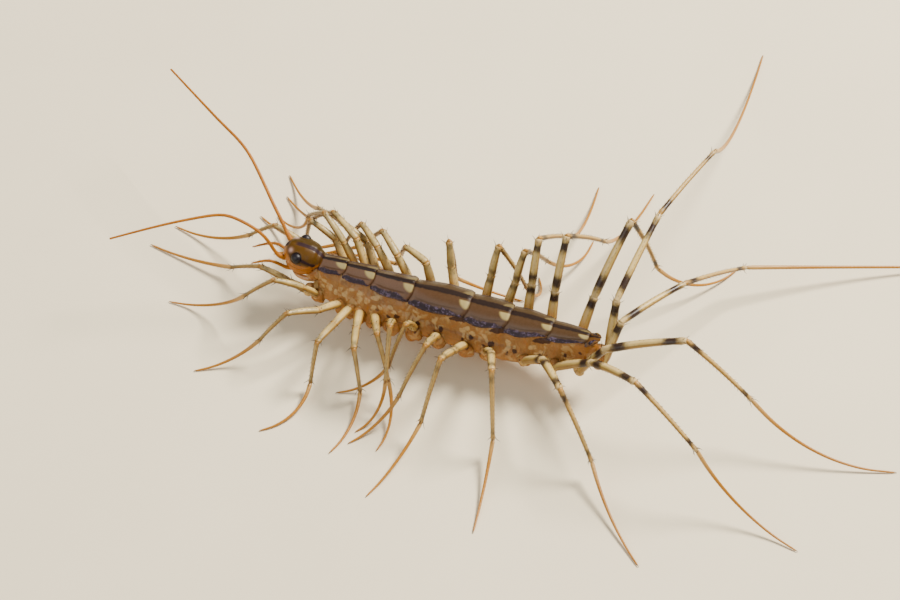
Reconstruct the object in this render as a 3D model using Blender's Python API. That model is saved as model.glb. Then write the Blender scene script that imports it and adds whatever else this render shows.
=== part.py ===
"""House centipede, life size, as a still museum model.

Metres, +Z up, the floor at z = 0. The head points toward -X and the animal's
left side toward -Y. Sizes below are in millimetres and are scaled when a mesh
is made. Each leg is one tube from its coxa to its toe, bent at the joints.
"""
import math
from dataclasses import dataclass

import bmesh
import bpy
from mathutils import Vector

MM = 0.001
GAP = 0.3

# Trunk: where each back plate ends, measured from the front of the head
PLATE_ENDS = (5.74, 8.47, 12.17, 17.49, 21.26, 25.15, 28.55, 29.9)
TRUNK_FRONT = 4.05
RIDGE_HEIGHT = 6.8
RIDGE_STEP = 0.2
PLATE_HALF_ANGLE = math.radians(60)
ROOF_DROP = 0.84
ROOF_POWER = 1.25
ROOF_FADES = (10.0, 16.0)
PLATE_LIP = 0.16
PLATE_SHELF = 0.2
PLATE_NARROWING = 0.97
REAR_ROUNDING = 0.5
FRONT_ROUNDING = 0.15
NOTCH_DEPTH = 0.22
NOTCH_WIDTH = 0.22
ARCH_STEPS = 12

# Head
HEAD_CENTRE = (1.87, 0.0, 6.35)
HEAD_SIZE = (1.87, 1.5, 1.25)
EYE_CENTRE = (1.6, 1.13, 6.95)
EYE_RADIUS = 0.45
EYE_GAP = 0.25
JAWS_CENTRE = (1.7, 0.0, 5.35)
JAWS_SIZE = (1.35, 1.05, 0.75)
LIP_CENTRE = (0.45, 0.0, 5.7)
LIP_SIZE = (0.6, 0.75, 0.6)
FANG_PATH = ((2.9, 0.55, 3.95), (2.1, 0.72, 3.9), (1.3, 0.62, 3.9), (0.75, 0.3, 3.95))
FANG_RADII = (0.27, 0.27, 0.22, 0.1)

# Legs, and how far the inner and outer ends of some left coxae lie ahead of or behind the right ones
LEG_ROOT_X = (4.45, 5.15, 6.2, 7.1, 8.0, 9.4, 11.1, 13.2, 15.4, 18.1, 20.1, 22.2, 24.5, 27.3, 30.35)
LEG_ROOT_HEIGHT = 3.6
LEG_ROOT_OUT = 0.6
COXA_RADIUS = 0.36
COXA_REACH = (1.3, 0.5)
LEFT_SWING = {1: (0.05, -1.45), 2: (-0.6, -1.3), 12: (1.3, 1.3), 13: (1.7, 1.7), 14: (0.55, 1.2)}
LAST_COXA = ((-1.3, 0.35, 4.7), (0.0, 0.6, 4.3))
LEG_LENGTHS_FIRST = (2.7, 2.8, 3.7, 7.0)
LEG_LENGTHS_14 = (4.1, 6.8, 8.4, 14.6)
LEG_LENGTHS_LAST = (4.9, 7.5, 9.0, 27.0)
LEG_LENGTH_GROWTH = (1.0, 5.0, 1.3, 3.5)
LEG_START = 0.75
THIGH_DEPTH = (0.38, 0.48)
THIGH_WIDTH = (0.28, 0.43)
THIN_THIGH = (0.36, 0.3)
KNEE_SIZE = (0.28, 0.31)
KNEE_BEND_RADIUS = 0.3
SHANK_RADIUS = 0.26
LEG_SIDES = 6
TOE_RADIUS = 0.15
LAST_LEG = 15


@dataclass(frozen=True)
class Swell:
    """A size behind the head, at mid body and at the tail, and the two stretches where it changes."""
    front: float
    middle: float
    rear: float
    grows: tuple
    shrinks: tuple

    def at(self, x):
        """Return the size at x."""
        grown = smooth((x - self.grows[0]) / (self.grows[1] - self.grows[0]))
        shrunk = smooth((x - self.shrinks[0]) / (self.shrinks[1] - self.shrinks[0]))
        return blend(self.front, self.middle, grown) - (self.middle - self.rear) * shrunk


BACK_HALF_WIDTH = Swell(1.05, 1.75, 0.75, (3.5, 16.5), (20.0, 31.0))
FLANK_HALF_WIDTH = Swell(1.2, 1.75, 0.75, (3.5, 11.5), (20.0, 31.0))
TRUNK_DEPTH = Swell(3.9, 4.9, 2.7, (3.5, 8.5), (21.0, 31.0))


@dataclass(frozen=True)
class Pose:
    """How one leg is held, in degrees.

    A yaw is 0 straight out from the body and grows toward the tail. The
    prefemur climbs by lift and the femur by knee_lift, the tibia drops by
    fall, and the tarsus turns from foot_yaw to toe_yaw as it reaches the
    floor. Thigh and reach stretch the prefemur and femur, and the tarsus.
    """
    yaw: float
    lift: float
    femur_yaw: float
    knee_lift: float
    shin_yaw: float
    fall: float
    foot_yaw: float
    toe_yaw: float
    thigh: float
    reach: float


LEFT_POSES = (
    Pose(-115, -19, -93, 13, -98, 33, -90, -99, 1.04, 1.17),
    Pose(-34, 54, -64, 28, -78, 46, -96, -85, 1.0, 1.25),
    Pose(-26, 26, -48, 17, -58, 52, -50, -59, 1.09, 0.92),
    Pose(-8, 15, -8, 14, -5, 70, 10, -54, 1.06, 0.93),
    Pose(15, 19, 18, 17, 43, 73, 17, -21, 1.03, 0.93),
    Pose(25, 36, 25, 37, 52, 68, 38, -13, 1.0, 0.89),
    Pose(20, 49, 20, 48, 11, 63, 5, -39, 1.03, 0.73),
    Pose(12, 58, 9, 51, -57, 74, -56, -65, 0.96, 0.71),
    Pose(11, 46, 8, 42, -38, 63, -29, -39, 1.01, 0.71),
    Pose(-2, 40, -3, 38, -13, 62, -11, -20, 1.0, 0.89),
    Pose(29, 48, 21, 32, 24, 67, 11, 8, 1.01, 0.87),
    Pose(58, 48, 39, 18, 61, 54, 35, 50, 1.05, 0.93),
    Pose(79, 41, 57, 31, 72, 31, 77, 76, 1.29, 0.99),
    Pose(94, 61, 99, 24, 90, 42, 75, 110, 1.14, 0.99),
    Pose(151, 66, 151, -5, 153, 29, 124, 112, 0.99, 0.91),
)
RIGHT_POSES = (
    Pose(-84, 19, -84, 18, -88, 46, -91, -79, 1.25, 1.18),
    Pose(-51, 43, -79, 20, -57, 78, -62, -62, 1.0, 1.0),
    Pose(-68, 57, -61, 30, -56, 49, -62, -59, 1.1, 0.99),
    Pose(-56, 60, -59, 8, -60, 51, -42, -53, 1.19, 1.02),
    Pose(-42, 29, -79, 20, -52, 30, -47, -41, 1.02, 1.17),
    Pose(-59, 46, -51, 4, -67, 65, -107, -116, 1.0, 0.89),
    Pose(-67, 56, -51, 13, -61, 60, -99, -120, 0.92, 0.85),
    Pose(-55, 68, -66, -2, -40, 66, -81, -104, 0.86, 0.84),
    Pose(-40, 64, -36, 76, 19, 81, 59, 86, 0.87, 0.8),
    Pose(14, 71, 19, 73, 70, 67, 37, -35, 0.94, 0.68),
    Pose(24, 68, 27, 73, 11, 55, 39, -3, 0.91, 0.86),
    Pose(-1, 73, -2, 68, 12, 45, -4, -7, 1.01, 1.16),
    Pose(-6, 69, 2, 63, 21, 47, 2, 5, 0.99, 1.05),
    Pose(15, 61, 17, 47, 49, 71, 66, 22, 1.12, 0.7),
    Pose(0, 71, 6, 17, 14, 1, -6, -6, 1.18, 0.97),
)

# Feelers and palps, as points read off the photo: forward of the head's front, out, up
LEFT_ANTENNA = ((-0.25, -1.15, 6.3), (-0.6, -1.1, 7.2), (-1.4, -0.9, 8.3), (-2.6, -0.9, 9.2),
                (-4.3, -0.9, 9.7), (-5.6, -1.1, 9.9), (-9.7, -3.4, 9.4), (-14.2, -6.1, 8.4))
RIGHT_ANTENNA = ((-0.15, 1.15, 6.4), (-0.8, 1.8, 7.2), (-2.0, 2.7, 8.0), (-3.5, 4.1, 8.8),
                 (-6.4, 6.7, 9.9), (-10.0, 8.7, 10.3), (-16.4, 13.0, 9.8))
LEFT_PALP = ((0.35, -0.75, 4.65), (-0.5, -0.9, 5.1), (-1.4, -1.0, 5.1), (-2.8, -1.2, 4.3))
RIGHT_PALP = ((0.35, 0.75, 4.65), (-0.5, 0.9, 5.2), (-1.6, 0.9, 5.3), (-3.4, 0.5, 4.4))
ANTENNA_RADIUS = (0.28, 0.2)
PALP_RADIUS = (0.27, 0.16)


@dataclass(frozen=True)
class Ring:
    """One cross-section of a tube: centre, run, sideways axis and two half sizes."""
    centre: Vector
    run: Vector
    side: Vector
    half_width: float
    half_depth: float


def clear_scene():
    """Remove every object of the open file."""
    for item in list(bpy.data.objects):
        bpy.data.objects.remove(item, do_unlink=True)


def make_material(name, colour, roughness):
    """Return a plain surface of one colour."""
    material = bpy.data.materials.new(name)
    material.use_nodes = True
    shader = material.node_tree.nodes["Principled BSDF"]
    shader.inputs["Base Color"].default_value = (*colour, 1.0)
    shader.inputs["Roughness"].default_value = roughness
    material.diffuse_color = (*colour, 1.0)
    return material


def mesh_object(name, points, faces, material, origin):
    """Make a closed mesh object from millimetre points, with its origin at origin."""
    origin = Vector(origin)
    mesh = bpy.data.meshes.new(name)
    mesh.from_pydata([(Vector(p) - origin) * MM for p in points], [], faces)
    shape = bmesh.new()
    shape.from_mesh(mesh)
    bmesh.ops.recalc_face_normals(shape, faces=shape.faces)
    bmesh.ops.triangulate(shape, faces=shape.faces)
    shape.to_mesh(mesh)
    shape.free()
    mesh.shade_smooth()
    mesh.set_sharp_from_angle(angle=math.radians(50))
    mesh.materials.append(material)
    item = bpy.data.objects.new(name, mesh)
    item.location = origin * MM
    bpy.context.scene.collection.objects.link(item)
    return item


def skin_faces(ring_count, sides):
    """Faces of a stack of rings, with both ends closed."""
    faces = []
    for ring in range(ring_count - 1):
        for k in range(sides):
            a = ring * sides + k
            b = ring * sides + (k + 1) % sides
            faces.append((a, b, b + sides, a + sides))
    faces.append(tuple(range(sides)))
    last = (ring_count - 1) * sides
    faces.append(tuple(range(last, last + sides)))
    return faces


def ring_points(ring, sides, floor):
    """Corners of one ring, with a flat side down and none below the floor."""
    up = ring.side.cross(ring.run).normalized()
    if up.z < 0:
        up = -up
    points = []
    for k in range(sides):
        angle = 2 * math.pi * (k + 0.5) / sides
        point = ring.centre + ring.side * math.sin(angle) * ring.half_width
        point = point + up * math.cos(angle) * ring.half_depth
        if floor:
            point.z = max(point.z, 0.0)
        points.append(point)
    return points


def tube(name, rings, sides, material, floor=False):
    """Make one closed tube through the given rings."""
    points = []
    for ring in rings:
        points.extend(ring_points(ring, sides, floor))
    return mesh_object(name, points, skin_faces(len(rings), sides), material, rings[0].centre)


def heading(side, yaw, climb):
    """Unit direction of a limb; side is -1 on the left and 1 on the right."""
    flat = math.cos(math.radians(climb))
    yaw = math.radians(yaw)
    return Vector((math.sin(yaw) * flat, side * math.cos(yaw) * flat, math.sin(math.radians(climb))))


def blend(start, end, share):
    """Value between start and end."""
    return start + (end - start) * share


def smooth(share):
    """Ease in and out between 0 and 1."""
    share = min(max(share, 0.0), 1.0)
    return share * share * (3 - 2 * share)


# Trunk

def back_point(half, top, share, roof, shrink):
    """Point of the back at a share of its half width: a round arch, or a sharper roof behind the head."""
    radius = half / math.sin(PLATE_HALF_ANGLE)
    angle = PLATE_HALF_ANGLE * share
    arch_y = (radius - shrink) * math.sin(angle)
    arch_z = top - radius + (radius - shrink) * math.cos(angle)
    roof_y = (half - shrink) * share
    roof_z = top - shrink - ROOF_DROP * half * abs(share) ** ROOF_POWER
    return blend(arch_y, roof_y, roof), blend(arch_z, roof_z, roof)


def trunk_section(x, lift, narrow, core_only):
    """Points of one cross-section, round from the left plate edge over the ridge."""
    half = BACK_HALF_WIDTH.at(x) * narrow
    side = FLANK_HALF_WIDTH.at(x) * narrow
    depth = TRUNK_DEPTH.at(x)
    top = RIDGE_HEIGHT + lift
    roof = 1.0 - smooth((x - ROOF_FADES[0]) / (ROOF_FADES[1] - ROOF_FADES[0]))
    shrink = PLATE_LIP if core_only else 0.0
    points = [back_point(half, top, 2 * k / ARCH_STEPS - 1, roof, shrink) for k in range(ARCH_STEPS + 1)]
    edge = back_point(half, top, 1.0, roof, 0.0)[1]
    low = top - side * math.tan(PLATE_HALF_ANGLE / 2)
    flank = ((half - PLATE_LIP, edge - 0.2), (side + 0.08, low - 0.28 * depth),
             (side + 0.12, low - 0.52 * depth), (side * 0.7, RIDGE_HEIGHT - depth * 0.96))
    belly = (0.0, RIDGE_HEIGHT - depth)
    right = list(flank)
    left = [(-y, z) for y, z in reversed(flank)]
    return points + right + [belly] + left


def plate_outline(x0, x1, y, half, at_rear):
    """Where a plate's front or rear edge lies at y: round corners and a small rear notch."""
    share = min(abs(y) / half, 1.0)
    if at_rear:
        return x1 - REAR_ROUNDING * share ** 4 - NOTCH_DEPTH * math.exp(-(y / NOTCH_WIDTH) ** 2)
    return x0 + FRONT_ROUNDING * share ** 4


def coxa_points(number, side):
    """Inner and outer end of the stub that carries a leg."""
    x = LEG_ROOT_X[number - 1]
    if number == LAST_LEG:
        inner, outer = [Vector((x + along, side * out, height)) for along, out, height in LAST_COXA]
        return inner, outer
    out = FLANK_HALF_WIDTH.at(x) + LEG_ROOT_OUT
    inner_swing, outer_swing = LEFT_SWING.get(number, (0.0, 0.0)) if side < 0 else (0.0, 0.0)
    outer = Vector((x + outer_swing, side * out, LEG_ROOT_HEIGHT))
    inner = Vector((x + inner_swing, side * (out - COXA_REACH[0]), LEG_ROOT_HEIGHT + COXA_REACH[1]))
    return inner, outer


def coxa(number, side, material):
    """Make the stub of one leg, a short blunt cone."""
    inner, outer = coxa_points(number, side)
    run = (outer - inner).normalized()
    level = Vector((-run.y, run.x, 0.0)).normalized()
    rings = [Ring(inner, run, level, COXA_RADIUS, COXA_RADIUS * 1.4),
             Ring(outer - run * 0.15, run, level, COXA_RADIUS, COXA_RADIUS * 1.25),
             Ring(outer + run * 0.22, run, level, COXA_RADIUS * 0.6, COXA_RADIUS * 0.7)]
    return tube("coxa", rings, 8, material)


def fuse(item, helpers):
    """Join helper solids to item with one union and remove them."""
    group = bpy.data.collections.new("helpers")
    bpy.context.scene.collection.children.link(group)
    for helper in helpers:
        bpy.context.scene.collection.objects.unlink(helper)
        group.objects.link(helper)
    union = item.modifiers.new("Union", "BOOLEAN")
    union.operation = "UNION"
    union.operand_type = "COLLECTION"
    union.collection = group
    union.solver = "MANIFOLD"
    bpy.context.view_layer.update()
    ready = item.evaluated_get(bpy.context.evaluated_depsgraph_get())
    mesh = bpy.data.meshes.new_from_object(ready)
    item.modifiers.clear()
    item.data = mesh
    for helper in helpers:
        bpy.data.objects.remove(helper, do_unlink=True)
    bpy.data.collections.remove(group)
    return item


def trunk_piece(index, x0, x1, material, leg_material):
    """Make one stretch of trunk under one back plate, with the stubs of its legs."""
    ends = PLATE_NARROWING
    middle = blend(x0, x1, 0.5)
    stations = ((x0, 0.0, ends, True), (x0 + 0.001, 0.0, ends, False),
                (middle, RIDGE_STEP * 0.6, 1.0, False),
                (x1 - 0.001, RIDGE_STEP, ends, False), (x1, RIDGE_STEP, ends, True))
    points = []
    for x, lift, narrow, core_only in stations:
        half = BACK_HALF_WIDTH.at(x) * narrow
        for k, (y, z) in enumerate(trunk_section(x, lift, narrow, core_only)):
            if k <= ARCH_STEPS and x != middle:
                at_rear = x > middle
                px = plate_outline(x0, x1, y, half, at_rear)
                if core_only:
                    px += -PLATE_SHELF if at_rear else PLATE_SHELF
            else:
                px = x
            points.append((px, y, z))
    count = len(points) // len(stations)
    item = mesh_object(f"trunk_{index}", points, skin_faces(len(stations), count), material,
                       (middle, 0.0, RIDGE_HEIGHT - 2.0))
    stubs = []
    for number in range(1, LAST_LEG + 1):
        for side in (-1, 1):
            inner, _ = coxa_points(number, side)
            if x0 < min(inner.x, PLATE_ENDS[-1] - GAP) < x1:
                stubs.append(coxa(number, side, leg_material))
    return fuse(item, stubs) if stubs else item


def build_trunk(material, leg_material):
    """Make the eight stretches of trunk."""
    start = TRUNK_FRONT
    for index, end in enumerate(PLATE_ENDS, start=1):
        stop = end if index == len(PLATE_ENDS) else end - GAP / 2
        trunk_piece(index, start, stop, material, leg_material)
        start = end + GAP / 2


# Legs

def leg_lengths(number):
    """Lengths of prefemur, femur, tibia and tarsus, longer toward the tail."""
    if number == LAST_LEG:
        return LEG_LENGTHS_LAST
    grow = (number - 1) / 13
    sizes = zip(LEG_LENGTHS_FIRST, LEG_LENGTHS_14, LEG_LENGTH_GROWTH)
    return tuple(blend(first, last, grow ** power) for first, last, power in sizes)


def tarsus_path(side, start, length, pose, steps):
    """Points of the tarsus, which slopes down from start and ends flat on the floor."""
    low = -0.3
    high = 1.5
    for _ in range(30):
        slope = (low + high) / 2
        drop = sum(length / steps * math.sin(slope * (1 - (k + 0.5) / steps) ** 0.8) for k in range(steps))
        if drop < start.z - 0.8 * TOE_RADIUS:
            low = slope
        else:
            high = slope
    path = [start]
    for k in range(steps):
        share = (k + 0.5) / steps
        yaw = blend(pose.foot_yaw, pose.toe_yaw, share)
        climb = -math.degrees(slope * (1 - share) ** 0.8)
        path.append(path[-1] + heading(side, yaw, climb) * (length / steps))
    return path


def across(side, yaw):
    """Level direction square to a limb's run."""
    return heading(side, yaw + 90, 0)


def leg_rings(number, side, pose):
    """Cross-sections of one leg from beside its coxa to its toe."""
    grow = (number - 1) / 14
    slim = number == LAST_LEG
    prefemur, femur, tibia, tarsus = leg_lengths(number)
    prefemur *= pose.thigh
    femur *= pose.thigh
    tarsus *= pose.reach
    root = coxa_points(number, side)[1]
    thigh = heading(side, pose.yaw, pose.lift)
    upper = heading(side, pose.femur_yaw, pose.knee_lift)
    shin = heading(side, pose.shin_yaw, -pose.fall)
    joint = root + thigh * prefemur
    knee = joint + upper * femur
    ankle = knee + shin * tibia
    side_thigh = across(side, pose.yaw)
    side_femur = across(side, pose.femur_yaw)
    side_joint = (side_thigh + side_femur).normalized()
    side_shin = across(side, pose.shin_yaw)
    depth = THIN_THIGH[0] if slim else blend(*THIGH_DEPTH, grow)
    width = THIN_THIGH[1] if slim else blend(*THIGH_WIDTH, grow)
    room = math.tan((math.pi - upper.angle(shin)) / 2)
    above = min(max(KNEE_BEND_RADIUS / room, 0.45), 0.55 * femur)
    below = min(max(KNEE_BEND_RADIUS / room, 0.5), 0.3 * tibia)
    over_knee = min(depth * 0.8, above * room)
    under_knee = min(KNEE_SIZE[0], below * room)
    rings = [
        Ring(root + thigh * LEG_START, thigh, side_thigh, width * 0.7, depth * 0.6),
        Ring(root + thigh * (LEG_START + 0.35), thigh, side_thigh, width, depth * 0.95),
        Ring(blend(root, joint, 0.65), thigh, side_thigh, width, depth),
        Ring(joint, (thigh + upper).normalized(), side_joint, width, depth * 0.98),
        Ring(blend(joint, knee, 0.25), upper, side_femur, width * 0.85, depth * 0.86),
        Ring(blend(knee, joint, above / femur), upper, side_femur, width * 0.88, over_knee),
        Ring(knee, (upper + shin).normalized(), (side_femur + side_shin).normalized(), *KNEE_SIZE),
        Ring(blend(knee, ankle, below / tibia), shin, side_shin, SHANK_RADIUS, under_knee),
        Ring(blend(knee, ankle, 0.6), shin, side_shin, SHANK_RADIUS * 0.96, SHANK_RADIUS),
    ]
    steps = 12 if slim else 6
    path = tarsus_path(side, ankle, tarsus, pose, steps)
    for k, point in enumerate(path):
        before = path[k - 1] if k else knee
        after = path[min(k + 1, steps)]
        run = (after - before).normalized()
        share = k / steps
        yaw = pose.shin_yaw if k == 0 else blend(pose.foot_yaw, pose.toe_yaw, share)
        size = blend(SHANK_RADIUS, TOE_RADIUS, share)
        rings.append(Ring(point, run, across(side, yaw), size, size))
    return rings


def build_legs(materials):
    """Make the thirty legs."""
    for side_name, side, poses in (("left", -1, LEFT_POSES), ("right", 1, RIGHT_POSES)):
        for number, pose in enumerate(poses, start=1):
            rings = leg_rings(number, side, pose)
            tube(f"leg_{side_name}_{number:02d}", rings, LEG_SIDES, materials["leg"], floor=True)


# Head

def ellipsoid(name, centre, size, rings, sides, material):
    """Make a closed ball stretched to three half sizes."""
    points = []
    for r in range(rings):
        polar = math.pi * (r + 0.5) / rings
        for k in range(sides):
            angle = 2 * math.pi * k / sides
            points.append((centre[0] + size[0] * math.cos(polar),
                           centre[1] + size[1] * math.sin(polar) * math.cos(angle),
                           centre[2] + size[2] * math.sin(polar) * math.sin(angle)))
    return mesh_object(name, points, skin_faces(rings, sides), material, centre)


def cut(item, helpers):
    """Cut helper solids out of item and remove them."""
    for helper in helpers:
        carve = item.modifiers.new("Cut", "BOOLEAN")
        carve.operation = "DIFFERENCE"
        carve.object = helper
        carve.solver = "MANIFOLD"
        bpy.context.view_layer.update()
        ready = item.evaluated_get(bpy.context.evaluated_depsgraph_get())
        mesh = bpy.data.meshes.new_from_object(ready)
        item.modifiers.clear()
        item.data = mesh
        bpy.data.objects.remove(helper, do_unlink=True)
    return item


def build_head(materials):
    """Make the head with its mouthparts, the eyes in their cups and the fangs."""
    head = ellipsoid("head", HEAD_CENTRE, HEAD_SIZE, 10, 16, materials["plate"])
    jaws = ellipsoid("jaws", JAWS_CENTRE, JAWS_SIZE, 8, 12, materials["leg"])
    lip = ellipsoid("lip", LIP_CENTRE, LIP_SIZE, 6, 10, materials["leg"])
    fuse(head, [jaws, lip])
    cups = []
    for side in (-1, 1):
        centre = (EYE_CENTRE[0], side * EYE_CENTRE[1], EYE_CENTRE[2])
        reach = EYE_RADIUS + EYE_GAP
        cups.append(ellipsoid("cup", centre, (reach, reach, reach), 7, 10, materials["eye"]))
    cut(head, cups)
    for side_name, side in (("left", -1), ("right", 1)):
        centre = (EYE_CENTRE[0], side * EYE_CENTRE[1], EYE_CENTRE[2])
        ellipsoid(f"eye_{side_name}", centre, (EYE_RADIUS,) * 3, 8, 12, materials["eye"])
        fang(side_name, side, materials["fang"])


def fang(side_name, side, material):
    """Make one poison claw, curved in under the head."""
    path = [Vector((x, side * out, height)) for x, out, height in FANG_PATH]
    path_tube(f"forcipule_{side_name}", path, FANG_RADII, 8, material)


def path_tube(name, path, radii, sides, material):
    """Make a round tube through points with one radius for each."""
    rings = []
    for k, point in enumerate(path):
        before = path[max(k - 1, 0)]
        after = path[min(k + 1, len(path) - 1)]
        run = (after - before).normalized()
        level = Vector((-run.y, run.x, 0.0)).normalized()
        rings.append(Ring(point, run, level, radii[k], radii[k]))
    return tube(name, rings, sides, material)


def curve_through(points, per_span):
    """Points on a smooth curve through the given points."""
    knots = [Vector(p) for p in points]
    path = []
    for k in range(len(knots) - 1):
        p0 = knots[max(k - 1, 0)]
        p1 = knots[k]
        p2 = knots[k + 1]
        p3 = knots[min(k + 2, len(knots) - 1)]
        for step in range(per_span):
            t = step / per_span
            path.append(0.5 * ((2 * p1) + (p2 - p0) * t + (2 * p0 - 5 * p1 + 4 * p2 - p3) * t * t
                               + (3 * p1 - p0 - 3 * p2 + p3) * t ** 3))
    path.append(knots[-1])
    return path


def build_feelers(materials):
    """Make the antennae and the palps."""
    parts = (("antenna_left", LEFT_ANTENNA, ANTENNA_RADIUS),
             ("antenna_right", RIGHT_ANTENNA, ANTENNA_RADIUS),
             ("palp_left", LEFT_PALP, PALP_RADIUS),
             ("palp_right", RIGHT_PALP, PALP_RADIUS))
    for name, points, (thick, thin) in parts:
        path = curve_through(points, 2)
        radii = [blend(thick, thin, k / (len(path) - 1)) for k in range(len(path))]
        path_tube(name, path, radii, 6, materials["feeler"])


def stand_at_origin():
    """Move the model so that its box is centred over the origin."""
    bpy.context.view_layer.update()
    corners = [item.matrix_world @ vertex.co
               for item in bpy.context.scene.objects for vertex in item.data.vertices]
    middle = Vector(((min(c.x for c in corners) + max(c.x for c in corners)) / 2,
                     (min(c.y for c in corners) + max(c.y for c in corners)) / 2, 0.0))
    for item in bpy.context.scene.objects:
        item.location -= middle


def main():
    """Build the whole centipede."""
    clear_scene()
    materials = {
        "plate": make_material("Back plate", (0.16, 0.075, 0.035), 0.35),
        "leg": make_material("Leg", (0.52, 0.34, 0.15), 0.45),
        "eye": make_material("Eye", (0.01, 0.008, 0.012), 0.15),
        "fang": make_material("Fang", (0.45, 0.2, 0.06), 0.3),
        "feeler": make_material("Feeler", (0.5, 0.22, 0.06), 0.5),
    }
    build_trunk(materials["plate"], materials["leg"])
    build_head(materials)
    build_feelers(materials)
    build_legs(materials)
    stand_at_origin()


main()
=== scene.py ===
"""House centipede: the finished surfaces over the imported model.

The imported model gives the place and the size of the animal. This script models
the back plates, the soft flanks, the head, the feelers and the thirty legs in
fine mesh over it, and gives each one its horn, skin or eye finish.

Lengths in this script are millimetres in the animal's own frame: x runs from
the front of the head to the tail, y to the animal's right and z up from the
floor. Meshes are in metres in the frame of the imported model.
"""
from __future__ import annotations

import logging
import math
from dataclasses import dataclass, field
from enum import Enum
from functools import cached_property
from typing import Callable, Sequence

import bpy
import numpy as np
from mathutils import Matrix, Vector, noise

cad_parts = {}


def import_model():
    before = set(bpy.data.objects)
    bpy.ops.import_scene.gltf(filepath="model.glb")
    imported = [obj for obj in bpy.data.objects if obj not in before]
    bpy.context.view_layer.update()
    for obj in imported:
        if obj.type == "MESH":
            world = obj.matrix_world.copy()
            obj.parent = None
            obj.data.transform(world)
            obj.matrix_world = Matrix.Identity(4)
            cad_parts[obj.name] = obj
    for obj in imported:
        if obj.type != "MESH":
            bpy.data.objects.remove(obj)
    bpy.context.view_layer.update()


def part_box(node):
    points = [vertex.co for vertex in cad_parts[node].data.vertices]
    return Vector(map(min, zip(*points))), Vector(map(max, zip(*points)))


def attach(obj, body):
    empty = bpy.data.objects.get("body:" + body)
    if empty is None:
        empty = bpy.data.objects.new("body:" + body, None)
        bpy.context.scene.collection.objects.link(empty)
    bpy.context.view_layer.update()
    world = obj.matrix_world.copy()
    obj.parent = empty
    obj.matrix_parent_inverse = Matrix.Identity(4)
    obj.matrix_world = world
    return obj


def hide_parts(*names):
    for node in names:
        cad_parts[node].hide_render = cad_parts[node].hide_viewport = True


MM = 0.001
SEAM = 1e-6
HEAD_SEED = 7
LEG_SEED_STEP = 100
BODY = "root"
UP = np.array([0.0, 0.0, 1.0])
LOG = logging.getLogger("house_centipede")

Socket = bpy.types.NodeSocket
Item = bpy.types.Object
Rgb = tuple[float, float, float]
Point = Sequence[float]
Table = Sequence[tuple[float, float]]
Placer = Callable[[float, float], Point]


class Side(Enum):
    """The two sides of the animal."""

    LEFT = -1
    RIGHT = 1

    @property
    def word(self) -> str:
        """Return the side's name as node names use it."""
        return self.name.lower()


class Podomere(Enum):
    """The stiff joints of a walking leg between its coxa and its tarsus."""

    PREFEMUR = 0
    FEMUR = 1
    TIBIA = 2


def blend(start: float, end: float, share: float) -> float:
    """Return the value a share of the way from start to end."""
    return start + (end - start) * share


def ease(share: float) -> float:
    """Ease in and out between 0 and 1."""
    share = min(max(share, 0.0), 1.0)
    return share * share * (3 - 2 * share)


def bump(value: float | np.ndarray, centre: float, width: float) -> float | np.ndarray:
    """Return a smooth hump of height 1 at centre."""
    return np.exp(-((value - centre) / width) ** 2)


def blot(points: np.ndarray, centre: Point, size: Point | float) -> np.ndarray:
    """Return a round blot, 1 at its centre, for each of the points."""
    return np.exp(-(((points - np.array(centre)) / size) ** 2).sum(axis=1))


def rough(x: float, y: float, z: float) -> float:
    """Return a smooth random height between about -1 and 1."""
    return noise.noise(Vector((x, y, z)))


def unit(run: np.ndarray) -> np.ndarray:
    """Return a direction with length 1."""
    return run / np.linalg.norm(run)


def mirrored(point: Point, side: Side) -> np.ndarray:
    """Return a point that is given for the animal's right, on the given side."""
    return np.array(point, float) * (1, side.value, 1)


def signed_power(value: float, power: float) -> float:
    """Return a power of a value's size, with the value's sign."""
    return math.copysign(abs(value) ** power, value)


def sized(path: np.ndarray, table: Table) -> np.ndarray:
    """Return the radius at each point of a path, from pairs of share and radius."""
    return np.interp(np.linspace(0.0, 1.0, len(path)), *zip(*table))


def round_way(share: float, angle: float, power: float = 1.0) -> np.ndarray:
    """Return the way from a ball's middle to its skin, with its poles on x.

    Args:
        share: The share of the way from the front pole to the rear one.
        angle: The angle round the ball.
        power: Below 1 for a ball that is fuller toward its poles.

    Returns:
        The way, of length 1 for a power of 1.
    """
    polar = share * math.pi
    ring = math.sin(polar) ** power
    return np.array([-math.cos(polar), ring * math.cos(angle), ring * math.sin(angle)])


def heading(side: Side, yaw: float, climb: float) -> np.ndarray:
    """Return the unit direction of a limb.

    Args:
        side: The side that the limb is on.
        yaw: Degrees from straight out of the body toward the tail.
        climb: Degrees above the floor's plane.

    Returns:
        The direction in the animal's frame.
    """
    turn = math.radians(yaw)
    rise = math.radians(climb)
    flat = math.cos(rise)
    return np.array([math.sin(turn) * flat, side.value * math.cos(turn) * flat, math.sin(rise)])


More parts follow.
